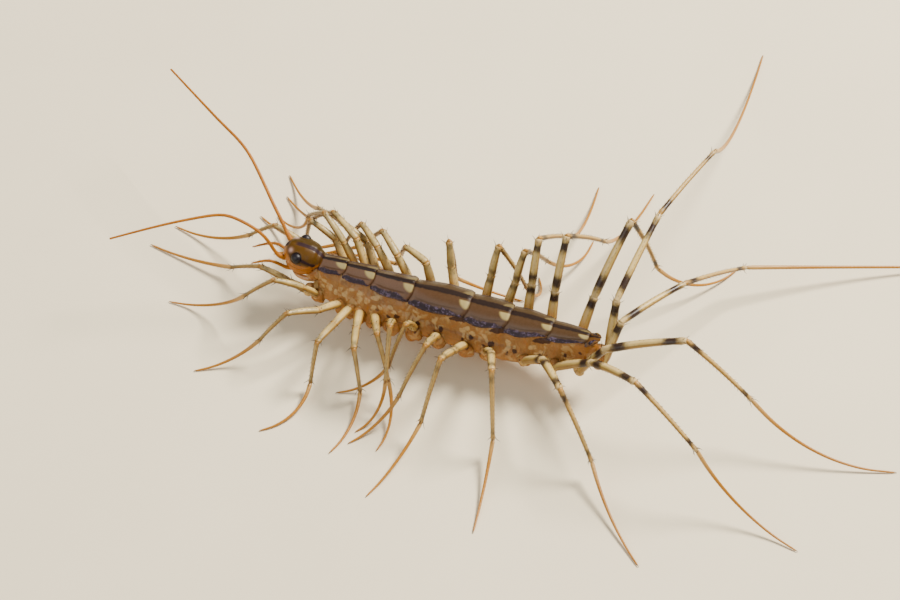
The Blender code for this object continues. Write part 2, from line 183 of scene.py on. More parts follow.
def smooth_path(points: Sequence[Point], spacing: float) -> np.ndarray:
    """Return evenly spaced points on a smooth curve through the given points.

    Args:
        points: The points that the curve passes.
        spacing: The distance between the returned points.

    Returns:
        An array of points.
    """
    knots = np.array(points, float)
    padded = np.vstack([knots[:1], knots, knots[-1:]])
    fine = []
    for p0, p1, p2, p3 in zip(padded, padded[1:], padded[2:], padded[3:]):
        for t in np.arange(0.0, 1.0, 0.05):
            fine.append(0.5 * (2 * p1 + (p2 - p0) * t + (2 * p0 - 5 * p1 + 4 * p2 - p3) * t * t
                               + (3 * p1 - p0 - 3 * p2 + p3) * t ** 3))
    fine = np.array(fine + [knots[-1]])
    for _ in range(12):
        fine[1:-1] = fine[:-2] * 0.25 + fine[1:-1] * 0.5 + fine[2:] * 0.25
    run = np.r_[0.0, np.cumsum(np.linalg.norm(np.diff(fine, axis=0), axis=1))]
    stops = np.linspace(0.0, run[-1], max(int(run[-1] / spacing), 3) + 1)
    return np.column_stack([np.interp(stops, run, fine[:, axis]) for axis in range(3)])


def soften(path: np.ndarray, spread: int) -> np.ndarray:
    """Round off the bends of an evenly spaced path, with its ends kept.

    Args:
        path: The points.
        spread: How many points each side of a bend it is rounded over.

    Returns:
        The rounded path.
    """
    pad = 3 * spread
    weights = np.exp(-(np.arange(-pad, pad + 1) / spread) ** 2 / 2)
    weights /= weights.sum()
    longer = np.vstack([2 * path[0] - path[pad:0:-1], path, 2 * path[-1] - path[-2:-pad - 2:-1]])
    return np.column_stack([np.convolve(longer[:, axis], weights, mode="valid") for axis in range(3)])


@dataclass(frozen=True)
class Stance:
    """Where the animal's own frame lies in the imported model.

    Attributes:
        shift: Added to a point of the animal's frame, in millimetres.
    """

    shift: np.ndarray

    EYE_CENTRE = (1.6, 1.13, 6.95)

    @classmethod
    def from_frame(cls) -> "Stance":
        """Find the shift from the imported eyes, whose centre is known."""
        corners = np.array([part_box("eye_left"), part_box("eye_right")]).reshape(-1, 3)
        return cls(shift=corners.mean(axis=0) / MM - np.array(cls.EYE_CENTRE) * (1, 0, 1))

    def to_model(self, points: np.ndarray) -> np.ndarray:
        """Return points of the animal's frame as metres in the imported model."""
        return (np.asarray(points, float) + self.shift) * MM

    def to_animal(self, points: np.ndarray) -> np.ndarray:
        """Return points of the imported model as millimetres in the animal's frame."""
        return np.asarray(points, float) / MM - self.shift


@dataclass(frozen=True)
class Hair:
    """How one kind of hair or spine stands on a limb.

    Attributes:
        seat: Its root's distance from the limb's middle, as a part of the radius.
        splay: How far it stands off, as a part of its length.
        lean: How far it leans along the limb, as a part of its length.
        thick: Its radius at the root.
    """

    seat: float
    splay: float
    lean: float
    thick: float

    def grow(self, middle: np.ndarray, radius: float, out: np.ndarray, ahead: np.ndarray,
             length: float) -> tuple[np.ndarray, np.ndarray, float]:
        """Return the root, the tip and the thickness of one hair.

        Args:
            middle: The point of the limb's middle line that it grows at.
            radius: The limb's radius there.
            out: The way it stands out.
            ahead: The way that the limb runs.
            length: The hair's length.

        Returns:
            Its root, its tip and its radius at the root.
        """
        root = middle + out * radius * self.seat
        return root, root + out * length * self.splay + ahead * length * self.lean, self.thick


@dataclass
class Bench:
    """The modelling steps that the pieces share."""

    stance: Stance

    HAIR_BEND = 0.06
    HAIR_TAPER = 0.7

    @staticmethod
    def clear_choice() -> None:
        """Deselect every object."""
        bpy.ops.object.select_all(action="DESELECT")

    def choose(self, *items: Item) -> None:
        """Select these objects alone and make the first one active.

        Args:
            items: The objects.
        """
        self.clear_choice()
        for item in items:
            item.select_set(True)
        bpy.context.view_layer.objects.active = items[0]

    @staticmethod
    def places(item: Item) -> np.ndarray:
        """Return the vertex places of a mesh as an array.

        Args:
            item: The mesh object.

        Returns:
            One row for each vertex.
        """
        flat = np.empty(len(item.data.vertices) * 3)
        item.data.vertices.foreach_get("co", flat)
        return flat.reshape(-1, 3)

    def animal_places(self, item: Item) -> np.ndarray:
        """Return the vertex places of a mesh in the animal's frame."""
        return self.stance.to_animal(self.places(item))

    @staticmethod
    def put_places(item: Item, points: np.ndarray) -> None:
        """Move the vertices of a mesh to the given places."""
        item.data.vertices.foreach_set("co", np.asarray(points, float).ravel())
        item.data.update()

    @staticmethod
    def note(item: Item, **values: np.ndarray | float) -> None:
        """Store one number for each vertex under each name, for the finish to read.

        Args:
            item: The mesh object.
            values: The numbers under each name, or one number for every vertex.
        """
        mesh = item.data
        for name, value in values.items():
            layer = mesh.attributes.get(name) or mesh.attributes.new(name, "FLOAT", "POINT")
            data = np.broadcast_to(np.asarray(value, float), (len(mesh.vertices),))
            layer.data.foreach_set("value", np.ascontiguousarray(data))

    @staticmethod
    def close_skin() -> None:
        """Merge the seams and caps of the active mesh and turn its faces outward."""
        bpy.ops.object.mode_set(mode="EDIT")
        bpy.ops.mesh.select_all(action="SELECT")
        bpy.ops.mesh.remove_doubles(threshold=SEAM)
        bpy.ops.mesh.normals_make_consistent(inside=False)
        bpy.ops.object.mode_set(mode="OBJECT")

    def ball(self, name: str, around: int, along: int, shape: Placer) -> Item:
        """Model a closed skin from a ball primitive.

        Args:
            name: The piece's name.
            around: Faces around the ball.
            along: Faces from pole to pole.
            shape: Gives the place for a share from pole to pole and an angle around.

        Returns:
            The shaped mesh object, smooth shaded.
        """
        self.clear_choice()
        bpy.ops.mesh.primitive_uv_sphere_add(segments=around, ring_count=along, radius=1.0)
        item = bpy.context.object
        item.name = name
        placed = [shape(math.acos(min(max(z, -1.0), 1.0)) / math.pi, math.atan2(y, x)) for x, y, z in self.places(item)]
        self.put_places(item, self.stance.to_model(np.array(placed)))
        self.close_skin()
        bpy.ops.object.shade_smooth()
        return item

    def tube(self, name: str, path: np.ndarray, radii: np.ndarray, roundness: int,
             flat: tuple[float, float] = (1.0, 1.0), level: np.ndarray | None = None) -> tuple[Item, np.ndarray]:
        """Model a closed tube from a bevelled curve.

        Args:
            name: The piece's name.
            path: Points along the tube's middle.
            radii: The tube's radius at each point.
            roundness: The bevel resolution; the tube has twice this plus four sides.
            flat: Scale of the section along the sideways axis and across it.
            level: The sideways axis, or None for a round tube.

        Returns:
            The mesh object, with the share along the tube stored as "along" and how
            far a vertex lies toward the sideways ridges stored as "ridge", and the
            share along the tube of each vertex.
        """
        self.clear_choice()
        bpy.ops.curve.primitive_bezier_curve_add(radius=MM)
        item = bpy.context.object
        item.name = name
        curve = item.data
        curve.splines.clear()
        spline = curve.splines.new("POLY")
        spline.points.add(len(path) - 1)
        placed = self.stance.to_model(path)
        for point, place, radius in zip(spline.points, placed, radii):
            point.co = (*place, 1.0)
            point.radius = radius
        curve.dimensions = "3D"
        curve.bevel_depth = MM
        curve.bevel_resolution = roundness
        curve.use_fill_caps = True
        self.choose(item)
        bpy.ops.object.convert(target="MESH")
        item = bpy.context.object
        self.close_skin()
        points = self.places(item)
        nearest = np.argmin(((points[:, None, :] - placed[None, :, :]) ** 2).sum(axis=2), axis=1)
        ridge = np.zeros(len(points))
        if level is not None:
            offset = points - placed[nearest]
            sideways = offset @ level
            ridge = np.abs(sideways) / (np.linalg.norm(offset, axis=1) + 1e-9)
            across = np.outer(sideways, level)
            points = placed[nearest] + across * flat[0] + (offset - across) * flat[1]
        points[:, 2] = np.maximum(points[:, 2], 0.0)
        self.put_places(item, points)
        along = nearest / (len(path) - 1)
        self.note(item, along=along, ridge=ridge)
        self.choose(item)
        bpy.ops.object.shade_smooth()
        return item, along

    def bristles(self, name: str, hairs: Sequence[tuple[np.ndarray, np.ndarray, float]]) -> Item:
        """Model many fine hairs as one mesh.

        Args:
            name: The piece's name.
            hairs: The root, the tip and the root's radius of each hair.

        Returns:
            The mesh object.
        """
        corners = []
        faces = []
        for root, tip, thick in hairs:
            run = Vector(tip - root).normalized()
            side = run.orthogonal().normalized()
            other = run.cross(side)
            first = len(corners)
            middle = blend(root, tip, 0.5) + np.array(side) * np.linalg.norm(tip - root) * self.HAIR_BEND
            for centre, size in ((root, thick), (middle, thick * self.HAIR_TAPER)):
                for angle in (0.0, 2 * math.pi / 3, 4 * math.pi / 3):
                    corners.append(centre + np.array(side * math.cos(angle) + other * math.sin(angle)) * size)
            corners.append(tip)
            faces.append((first + 2, first + 1, first))
            for k, after in ((0, 1), (1, 2), (2, 0)):
                faces.append((first + k, first + after, first + 3 + after, first + 3 + k))
                faces.append((first + 3 + k, first + 3 + after, first + 6))
        placed = self.stance.to_model(np.array(corners))
        placed[:, 2] = np.maximum(placed[:, 2], 0.0)
        mesh = bpy.data.meshes.new(name)
        mesh.from_pydata(placed.tolist(), [], faces)
        item = bpy.data.objects.new(name, mesh)
        bpy.context.scene.collection.objects.link(item)
        self.note(item, bristle=1.0)
        return item

    def join(self, name: str, items: Sequence[Item]) -> Item:
        """Join several meshes into one piece.

        Args:
            name: The piece's name.
            items: The meshes.

        Returns:
            The piece.
        """
        self.choose(*items)
        bpy.ops.object.join()
        piece = bpy.context.object
        piece.name = name
        piece.data.name = name
        return piece

    def finish(self, piece: Item, material: bpy.types.Material, slot: str, *nodes: str) -> None:
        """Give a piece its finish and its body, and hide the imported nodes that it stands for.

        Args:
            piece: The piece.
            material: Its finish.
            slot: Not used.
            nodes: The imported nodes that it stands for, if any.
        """
        layer = piece.data.attributes.new("place", "FLOAT_VECTOR", "POINT")
        layer.data.foreach_set("vector", self.animal_places(piece).ravel())
        piece.data.materials.clear()
        piece.data.materials.append(material)
        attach(piece, BODY)
        if nodes:
            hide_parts(*nodes)
        LOG.info("%s: %d faces", piece.name, len(piece.data.polygons))


# Finishes

@dataclass(frozen=True, eq=False)
class Signal:
    """A value in a shader tree, which sums like a number."""

    board: Board
    socket: Socket

    def __add__(self, other: Signal | float) -> Signal:
        """Return the sum."""
        return self.board.math("ADD", self, other)

    def __sub__(self, other: Signal | float) -> Signal:
        """Return the difference."""
        return self.board.math("SUBTRACT", self, other)

    def __rsub__(self, other: float) -> Signal:
        """Return a number less this value."""
        return self.board.math("SUBTRACT", other, self)

    def __mul__(self, other: Signal | float) -> Signal:
        """Return the product."""
        return self.board.math("MULTIPLY", self, other)

    def __truediv__(self, other: Signal | float) -> Signal:
        """Return the quotient."""
        return self.board.math("DIVIDE", self, other)

    def __pow__(self, other: float) -> Signal:
        """Return the power."""
        return self.board.math("POWER", self, other)

    def __abs__(self) -> Signal:
        """Return the size without the sign."""
        return self.board.math("ABSOLUTE", self)

    def above(self, other: Signal | float) -> Signal:
        """Return the larger of two values."""
        return self.board.math("MAXIMUM", self, other)

    def remap(self, low: float, high: float, to_low: float = 0.0, to_high: float = 1.0) -> Signal:
        """Return the value moved smoothly from one range to another."""
        return self.board.smooth_step(self, low, high, to_low, to_high)

    def between(self, low: float, high: float) -> Signal:
        """Return a smooth change from low to high as this value goes from 0 to 1."""
        return self.remap(0.0, 1.0, low, high)


@dataclass
class Board:
    """Adds and links the nodes of one shader tree."""

    tree: bpy.types.NodeTree

    def feed(self, socket: Socket, value: object) -> None:
        """Link a socket to a value of the tree, or set its number or colour.

        Args:
            socket: The input.
            value: A value of the tree, a number, a vector or a colour.
        """
        if isinstance(value, Signal):
            self.tree.links.new(value.socket, socket)
        elif socket.type == "RGBA":
            socket.default_value = (*value, 1.0)
        else:
            socket.default_value = value

    def feed_all(self, node: bpy.types.Node, **inputs: object) -> bpy.types.Node:
        """Feed the named inputs of a node.

        Args:
            node: The node.
            inputs: What each input takes, with _ for a space in its name.

        Returns:
            The node.
        """
        for key, value in inputs.items():
            self.feed(node.inputs[key.replace("_", " ")], value)
        return node

    def add(self, kind: str, settings: dict[str, object] | None = None, **inputs: object) -> bpy.types.Node:
        """Add a node, set its options and feed its named inputs.

        Args:
            kind: The node's type.
            settings: Its options.
            inputs: What each of its inputs takes.

        Returns:
            The node.
        """
        node = self.tree.nodes.new(kind)
        for key, value in (settings or {}).items():
            setattr(node, key, value)
        return self.feed_all(node, **inputs)

    def signal(self, node: bpy.types.Node, output: str | int) -> Signal:
        """Return one output of a node."""
        return Signal(self, node.outputs[output])

    def note(self, name: str, output: str = "Fac") -> Signal:
        """Return a value that is stored on the mesh."""
        return self.signal(self.add("ShaderNodeAttribute", {"attribute_name": name}), output)

    def math(self, operation: str, first: object, second: object = 0.0, clamp: bool = False) -> Signal:
        """Work out a value from two others.

        Args:
            operation: What a Math node does with them.
            first: The first value.
            second: The second value.
            clamp: Whether the result stays between 0 and 1.

        Returns:
            The result.
        """
        node = self.add("ShaderNodeMath", {"operation": operation, "use_clamp": clamp})
        self.feed(node.inputs[0], first)
        self.feed(node.inputs[1], second)
        return self.signal(node, 0)

    def mix(self, share: object, low: object, high: object) -> Signal:
        """Mix two colours.

        Args:
            share: How much of the second colour there is.
            low: The first colour.
            high: The second colour.

        Returns:
            The mixed colour.
        """
        node = self.add("ShaderNodeMix", {"data_type": "RGBA", "clamp_factor": True})
        for index, value in ((0, share), (6, low), (7, high)):
            self.feed(node.inputs[index], value)
        return self.signal(node, 2)

    def smooth_step(self, value: object, low: object, high: object, to_low: float, to_high: float) -> Signal:
        """Return a value moved smoothly from one range to another."""
        return self.signal(self.add("ShaderNodeMapRange", {"interpolation_type": "SMOOTHSTEP"}, Value=value,
                                    From_Min=low, From_Max=high, To_Min=to_low, To_Max=to_high), "Result")

    def noise(self, vector: Signal, scale: object, detail: float = 4.0, roughness: float = 0.55) -> Signal:
        """Return a cloudy noise value."""
        return self.signal(self.add("ShaderNodeTexNoise", None, Vector=vector, Scale=scale, Detail=detail,
                                    Roughness=roughness), "Fac")

    def cells(self, vector: Signal, scale: object, feature: str = "F1") -> bpy.types.Node:
        """Return a cell texture."""
        return self.add("ShaderNodeTexVoronoi", {"feature": feature}, Vector=vector, Scale=scale)

    def borders(self, vector: Signal, scale: float) -> Signal:
        """Return the distance to the border between cells."""
        return self.signal(self.cells(vector, scale, "DISTANCE_TO_EDGE"), "Distance")


@dataclass
class SharedEffects:
    """The shader effects that several finishes use."""

    soft_band: bpy.types.NodeTree = field(init=False)
    mottle: bpy.types.NodeTree = field(init=False)
    grain: bpy.types.NodeTree = field(init=False)

    def __post_init__(self) -> None:
        """Build each effect once."""
        self.soft_band = self.new_group("Soft band", self.band_mask, "Mask",
                                        "Position", "Centre", "Half Width", "Softness")
        self.mottle = self.new_group("Mottle", self.mottle_mask, "Mask", "Place", "Scale", "Contrast")
        self.grain = self.new_group("Horn grain", self.grain_height, "Height", "Place", "Scale", "Pits")

    @staticmethod
    def new_group(name: str, effect: Callable[..., Signal], output: str, *inputs: str) -> bpy.types.NodeTree:
        """Make a node group with named sockets from an effect.

        Args:
            name: The group's name.
            effect: Gives the group's result from its board and its input values.
            output: The name of the result.
            inputs: The names of the inputs; "Place" is a vector and the others are numbers.

        Returns:
            The group.
        """
        group = bpy.data.node_groups.new(name, "ShaderNodeTree")
        for socket in inputs:
            kind = "NodeSocketVector" if socket == "Place" else "NodeSocketFloat"
            group.interface.new_socket(name=socket, in_out="INPUT", socket_type=kind)
        group.interface.new_socket(name=output, in_out="OUTPUT", socket_type="NodeSocketFloat")
        board = Board(group)
        entry = group.nodes.new("NodeGroupInput")
        result = effect(board, *(board.signal(entry, socket) for socket in inputs))
        board.feed(group.nodes.new("NodeGroupOutput").inputs[output], result)
        return group

    @staticmethod
    def band_mask(board: Board, position: Signal, centre: Signal, half_width: Signal, softness: Signal) -> Signal:
        """Return a band with soft edges round a centre value."""
        return board.smooth_step(abs(position - centre), half_width - softness, half_width + softness, 1.0, 0.0)

    @staticmethod
    def mottle_mask(board: Board, place: Signal, scale: Signal, contrast: Signal) -> Signal:
        """Return blotches of pigment: a mask that changes over a few tenths of a millimetre."""
        centred = (board.noise(place, scale, 5.0, 0.6) - 0.5) * contrast
        return board.math("ADD", centred, 0.5, clamp=True)

    @staticmethod
    def grain_height(board: Board, place: Signal, scale: Signal, pits: Signal) -> Signal:
        """Return the fine pitted grain of horn as a height."""
        pit = board.signal(board.cells(place, scale * 1.7), "Distance")
        return board.noise(place, scale, 3.0, 0.5) + board.math("SMOOTH_MIN", pit, 0.4) * pits


class Canvas(Board):
    """The board of one finish, with its shader and the shared effects."""

    def __init__(self, name: str, effects: SharedEffects | None = None) -> None:
        """Start an empty finish.

        Args:
            name: The material's name.
            effects: The shared effects, where the finish uses them.
        """
        self.material = bpy.data.materials.new(name)
        self.material.use_nodes = True
        super().__init__(self.material.node_tree)
        self.effects = effects
        self.shader = self.tree.nodes["Principled BSDF"]

    @cached_property
    def place(self) -> Signal:
        """Return the place on the animal, in its own frame."""
        return self.note("place", "Vector")

    def axes(self) -> list[Signal]:
        """Return the three parts of the place on the animal."""
        parts = self.add("ShaderNodeSeparateXYZ", None, Vector=self.place)
        return [self.signal(parts, axis) for axis in "XYZ"]

    def use(self, group: bpy.types.NodeTree, **inputs: object) -> Signal:
        """Place a shared effect, feed its named inputs and return its result."""
        return self.signal(self.add("ShaderNodeGroup", {"node_tree": group}, **inputs), 0)

    def mottle(self, scale: float, contrast: float) -> Signal:
        """Return blotches of pigment."""
        return self.use(self.effects.mottle, Place=self.place, Scale=scale, Contrast=contrast)

    def band(self, position: Signal, centre: object, half_width: object, softness: float) -> Signal:
        """Return a band with soft edges."""
        return self.use(self.effects.soft_band, Position=position, Centre=centre, Half_Width=half_width,
                        Softness=softness)

    def grain(self, scale: float, pits: float) -> Signal:
        """Return the height of the horn's grain."""
        return self.use(self.effects.grain, Place=self.place, Scale=scale, Pits=pits)

    def wander(self, scale: float, reach: float) -> Signal:
        """Return a noise round zero that spreads over the given reach."""
        return (self.noise(self.place, scale) - 0.5) * reach

    def layer(self, colour: object, *coats: tuple[object, object]) -> Signal:
        """Lay coats of colour over a first one.

        Args:
            colour: The first colour.
            coats: A mask and a colour for each coat.

        Returns:
            The colour under all the coats.
        """
        for mask, over in coats:
            colour = self.mix(mask, colour, over)
        return colour

    def dress(self, height: Signal, strength: float, depth: float, **values: object) -> bpy.types.Material:
        """Feed the shader and return the material.

        Args:
            height: The height of the fine relief.
            strength: The relief's strength.
            depth: The relief's depth in millimetres.
            values: The shader's other inputs.

        Returns:
            The finished material.
        """
        relief = self.add("ShaderNodeBump", None, Strength=strength, Distance=depth * MM, Height=height)
        self.feed_all(self.shader, Normal=self.signal(relief, "Normal"), **values)
        return self.material


@dataclass(frozen=True)
class PlateFinish:
    """Glossy horn of the back plates, striped along the animal."""

    effects: SharedEffects
    mauve: Rgb = (0.1, 0.043, 0.018)
    olive: Rgb = (0.055, 0.03, 0.005)
    speck: Rgb = (0.13, 0.07, 0.035)
    median: Rgb = (0.01, 0.003, 0.0015)
    lateral: Rgb = (0.012, 0.004, 0.01)
    blue: Rgb = (0.085, 0.06, 0.105)
    # Colour of the painted shade on the far half of the plates, and of the darker plates from mid body back.
    shade: Rgb = (0.036, 0.022, 0.011)
    rim: Rgb = (0.22, 0.135, 0.035)
    rear_edge: Rgb = (0.05, 0.025, 0.015)
    pale: Rgb = (0.33, 0.26, 0.1)
    tail: Rgb = (0.17, 0.068, 0.006)

    def build(self) -> bpy.types.Material:
        """Make the finish of the back plates.

        Returns:
            The material.
        """
        c = Canvas("Back plate horn", self.effects)
        across, along = c.note("across"), c.note("lengthwise")
        run = c.axes()[0]
        wander = c.wander(2.2, 0.16)
        off_middle = abs(across)
        wavy = off_middle + wander + c.wander(7.0, 0.14)
        last = run.remap(28.5, 29.0)
        far = across.remap(-0.1, 0.3)
        speck = c.mottle(7.0, 3.0)
        # Olive share: the plates' own olive toward the tail and in blotches, plus painted light that tints the far half
        # of each plate olive.
        lean = across.remap(-0.25, 0.3, 0.0, 0.75) + run.remap(15.0, 30.0, 0.0, 0.4)
        # Painted shade that darkens the far half of each plate, and a darker tone from mid body back.
        dusk = (far * 0.6).above(run.remap(9.0, 16.0, 0.0, 0.5))
        stripe = self.side_stripe(c, wavy, along) * (1.0 - last) * (1.0 - far * 0.55)
        stripe = stripe.above(self.last_spot(wavy, run) * last)
        broken = c.mottle(2.1, 9.0) * c.noise(c.place, 5.5).remap(0.44, 0.6) * run.remap(5.0, 14.0, 0.35, 1.0)
        edge = wavy.remap(0.93, 0.98) * far.between(0.1, 1.0)
        line = c.band(across + c.wander(3.4, 0.12), run.remap(10.0, 16.0, 0.0, 0.08), 0.14, 0.03)
        colour = c.layer(
            self.mauve, (lean + c.mottle(1.6, 2.2) * 0.3, self.olive), (speck * 0.4, self.speck), (last, self.tail),
            (dusk, self.shade), (stripe, c.mix(broken, self.lateral, self.blue)), (edge, self.rim),
            (self.pale_oval(c, across, off_middle, wander) * (1.0 - last), self.pale), (line, self.median),
            (along.remap(0.965, 0.99) * 0.7, self.rear_edge))
        dull = line.above(along.remap(0.9, 0.95).above(stripe)).above(far * 0.8)
        return c.dress(c.grain(9.0, 0.5), 0.25, 0.04, Base_Color=colour, Specular_IOR_Level=0.22,
                       Roughness=speck.between(0.28, 0.42) + dull * 0.2, Coat_Weight=0.06, Coat_Roughness=0.25)

    @staticmethod
    def side_stripe(c: Canvas, wavy: Signal, along: Signal) -> Signal:
        """Return the purple stripe along each side, thinner at the plate's front and rear."""
        thins = along.remap(0.62, 0.95).above(along.remap(0.16, 0.02, 0.0, 0.7))
        return c.band(wavy, thins.between(0.825, 0.94), thins.between(0.135, 0.07), 0.05)

    @staticmethod
    def last_spot(wavy: Signal, run: Signal) -> Signal:
        """Return the purple spot that the last plate has in place of the stripe."""
        return (((run - 29.3) / 0.42) ** 2.0 + ((wavy - 0.6) / 0.28) ** 2.0).remap(1.2, 0.7)

    @staticmethod
    def pale_oval(c: Canvas, across: Signal, off_middle: Signal, wander: Signal) -> Signal:
        """Mark the pale oval beside the middle of the plate's rear edge, faint on the far half.

        Args:
            c: The finish that it is for.
            across: The share across the plate.
            off_middle: The same without its sign.
            wander: A noise that makes its edge ragged.

        Returns:
            Its mask.
        """
        ahead = abs(c.note("before_rear") - 0.3) / 0.8
        beside = (off_middle - 0.15).above(0.0) / 0.42
        reach = ahead ** 1.6 + beside ** 1.8 + wander * 1.2
        return reach.remap(1.1, 0.55) * off_middle.remap(0.13, 0.2) * across.remap(-0.05, 0.1, 1.0, 0.3)


@dataclass(frozen=True)
class FlankFinish:
    """Soft, half clear skin of the flanks with small pale sclerites."""

    effects: SharedEffects
    skin: Rgb = (0.335, 0.165, 0.045)
    deep: Rgb = (0.225, 0.1, 0.02)
    pale: Rgb = (0.54, 0.38, 0.17)
    amber: Rgb = (0.33, 0.12, 0.012)
    # Colour of the dark spots, and of the painted shadow in the wedges under the plates' rear corners.
    spot: Rgb = (0.05, 0.016, 0.005)
    cell_scale: float = 1.05

    def build(self) -> bpy.types.Material:
        """Make the finish of the flanks and the belly.

        Returns:
            The material.
        """
        c = Canvas("Flank skin", self.effects)
        blotch = c.mottle(0.9, 2.4)
        run, _, height = c.axes()
        ends = run.remap(5.0, 3.0).above(run.remap(26.5, 29.5))
        low = height.remap(4.9, 3.4) * blotch.between(0.5, 1.1)
        shifted = self.warped(c)
        chosen = c.signal(c.cells(shifted, self.cell_scale), "Color").remap(0.55, 0.62, 0.0, 0.4)
        border = c.borders(shifted, self.cell_scale)
        plate = border.remap(0.03, 0.28)
        horny = (c.note("plate") + c.wander(2.4, 0.9)).remap(0.35, 0.75)
        # Dark spots of the skin, and the painted shadow under each plate's cut rear corner over dark soft tissue.
        spots_and_wedge_shade = (c.note("spot") + c.wander(3.2, 1.1)).remap(0.38, 0.72)
        colour = c.layer(
            self.skin, (blotch, self.deep), (ends.above(low) * 0.6, self.amber),
            ((chosen * plate).above(horny * 0.7), self.pale), (c.note("seam") * 0.6, self.amber),
            (border.remap(0.07, 0.0) * 0.35, self.deep), (spots_and_wedge_shade, self.spot))
        relief = plate.above(horny) * 0.8 + c.grain(7.0, 0.3)
        return c.dress(relief, 0.5, 0.07, Base_Color=colour, Roughness=plate.between(0.5, 0.34), Specular_IOR_Level=0.3,
                       Subsurface_Weight=0.3, Subsurface_Radius=(0.0006, 0.0003, 0.00012), Subsurface_Scale=1.0)

    @staticmethod
    def warped(c: Canvas) -> Signal:
        """Move the place on the animal a little, to make its cells ragged.

        Args:
            c: The finish that it is for.

        Returns:
            The moved place.
        """
        warp = c.signal(c.add("ShaderNodeTexNoise", None, Vector=c.place, Scale=1.3, Detail=3.0), "Color")
        node = c.add("ShaderNodeVectorMath", {"operation": "MULTIPLY_ADD"})
        for index, value in enumerate((warp, (1.5, 1.5, 1.5), c.place)):
            c.feed(node.inputs[index], value)
        return c.signal(node, 0)


@dataclass(frozen=True)
class LegFinish:
    """Horn of the legs: pale tan, banded dark beside each joint, orange on the feet."""

    effects: SharedEffects
    tan: Rgb = (0.55, 0.4, 0.135)
    honey: Rgb = (0.45, 0.305, 0.075)
    # Pale middle of each leg: painted light that stands in for light shining through the clear horn.
    painted_glow_centre: Rgb = (0.66, 0.5, 0.24)
    band: Rgb = (0.026, 0.012, 0.007)
    shade: Rgb = (0.13, 0.105, 0.05)
    knob: Rgb = (0.58, 0.45, 0.23)
    foot: Rgb = (0.36, 0.15, 0.01)
    # Dark orange toward the leg's sideways edges: painted shade where light passes through more of the clear horn.
    ridge: Rgb = (0.2, 0.095, 0.011)
    bristle: Rgb = (0.035, 0.018, 0.01)

    def build(self) -> bpy.types.Material:
        """Make the finish of the legs.

        Returns:
            The material.
        """
        c = Canvas("Leg horn", self.effects)
        blotch = c.mottle(1.1, 2.0)
        ridge = c.note("ridge")
        dark = (c.note("band") + c.wander(2.6, 0.8)).remap(0.12, 0.95)
        # The pale middle and the dark orange sideways edges are painted light and shade of the clear horn.
        colour = c.layer(
            self.tan, (blotch, self.honey), (ridge.remap(0.5, 0.2) * 0.5, self.painted_glow_centre), (c.note("warm"), self.foot),
            (c.note("shade") * blotch.remap(0.2, 0.8, 0.55, 1.0), self.shade),
            (ridge.remap(0.66, 0.9) * 0.8, self.ridge),
            (c.note("knob"), self.knob), (dark, self.band), (c.note("bristle"), self.bristle))
        return c.dress(c.grain(12.0, 0.4), 0.3, 0.03, Base_Color=colour, Roughness=blotch.between(0.3, 0.45),
                       Specular_IOR_Level=0.35, Subsurface_Weight=0.05, Subsurface_Radius=(0.0003, 0.0002, 0.00008),
                       Subsurface_Scale=1.0, Coat_Weight=0.05, Coat_Roughness=0.25)


@dataclass(frozen=True)
class FeelerFinish:
    """Amber horn of the feelers, ringed along their length."""

    effects: SharedEffects
    amber: Rgb = (0.42, 0.15, 0.004)
    dusk: Rgb = (0.25, 0.08, 0.003)
    bristle: Rgb = (0.16, 0.07, 0.03)

    def build(self) -> bpy.types.Material:
        """Make the finish of the feelers and palps.

        Returns:
            The material.
        """
        c = Canvas("Feeler horn", self.effects)
        blotch = c.mottle(1.4, 1.8)
        colour = c.layer(self.amber, (blotch, self.dusk), (c.note("ring") * 0.55, self.dusk),
                         (c.note("bristle"), self.bristle))
        return c.dress(c.grain(14.0, 0.4), 0.25, 0.02, Base_Color=colour, Roughness=blotch.between(0.35, 0.5),
                       Specular_IOR_Level=0.25, Subsurface_Weight=0.05, Subsurface_Radius=(0.0004, 0.0002, 0.00008),
                       Subsurface_Scale=1.0)


@dataclass(frozen=True)
class HeadFinish:
    """Horn of the head: an olive dome with a dark median stripe, orange on the lower face."""

    effects: SharedEffects
    dome: Rgb = (0.074, 0.032, 0.0015)
    # Colour of the painted shade on the head's far half.
    far: Rgb = (0.042, 0.023, 0.0015)
    blotch: Rgb = (0.05, 0.022, 0.003)
    face: Rgb = (0.33, 0.11, 0.007)
    stripe: Rgb = (0.018, 0.005, 0.008)
    # Colour of a painted pinkish highlight on the upper front of the head, one each side.
    blush: Rgb = (0.5, 0.33, 0.3)

    def build(self) -> bpy.types.Material:
        """Make the finish of the head.

        Returns:
            The material.
        """
        c = Canvas("Head horn", self.effects)
        x, y, z = c.axes()
        blotch = c.mottle(2.4, 2.4)
        wander = c.wander(3.0, 0.5)
        lower = z + wander - x.remap(1.6, 0.4, 0.0, 0.75)
        median = c.band(y + wander * 0.2, 0.0, 0.2, 0.07) * c.band(x, 2.5, 1.3, 0.2)
        dark = median.above(c.note("mark").remap(0.25, 0.7))
        # The far half of the head is darkened with painted shade.
        colour = c.layer(
            self.dome, (y.remap(-0.1, 0.35), self.far), (blotch * 0.4, self.blotch),
            (lower.remap(6.65, 6.15), self.face),
            # A painted pinkish highlight on the upper front of the head.
            (c.note("blush") * 0.9, self.blush), (dark, self.stripe))
        return c.dress(c.grain(8.0, 0.5), 0.22, 0.04, Base_Color=colour, Specular_IOR_Level=0.22,
                       Roughness=blotch.between(0.32, 0.44) + dark * 0.25,
                       Coat_Weight=dark.between(0.05, 0.0), Coat_Roughness=0.2)


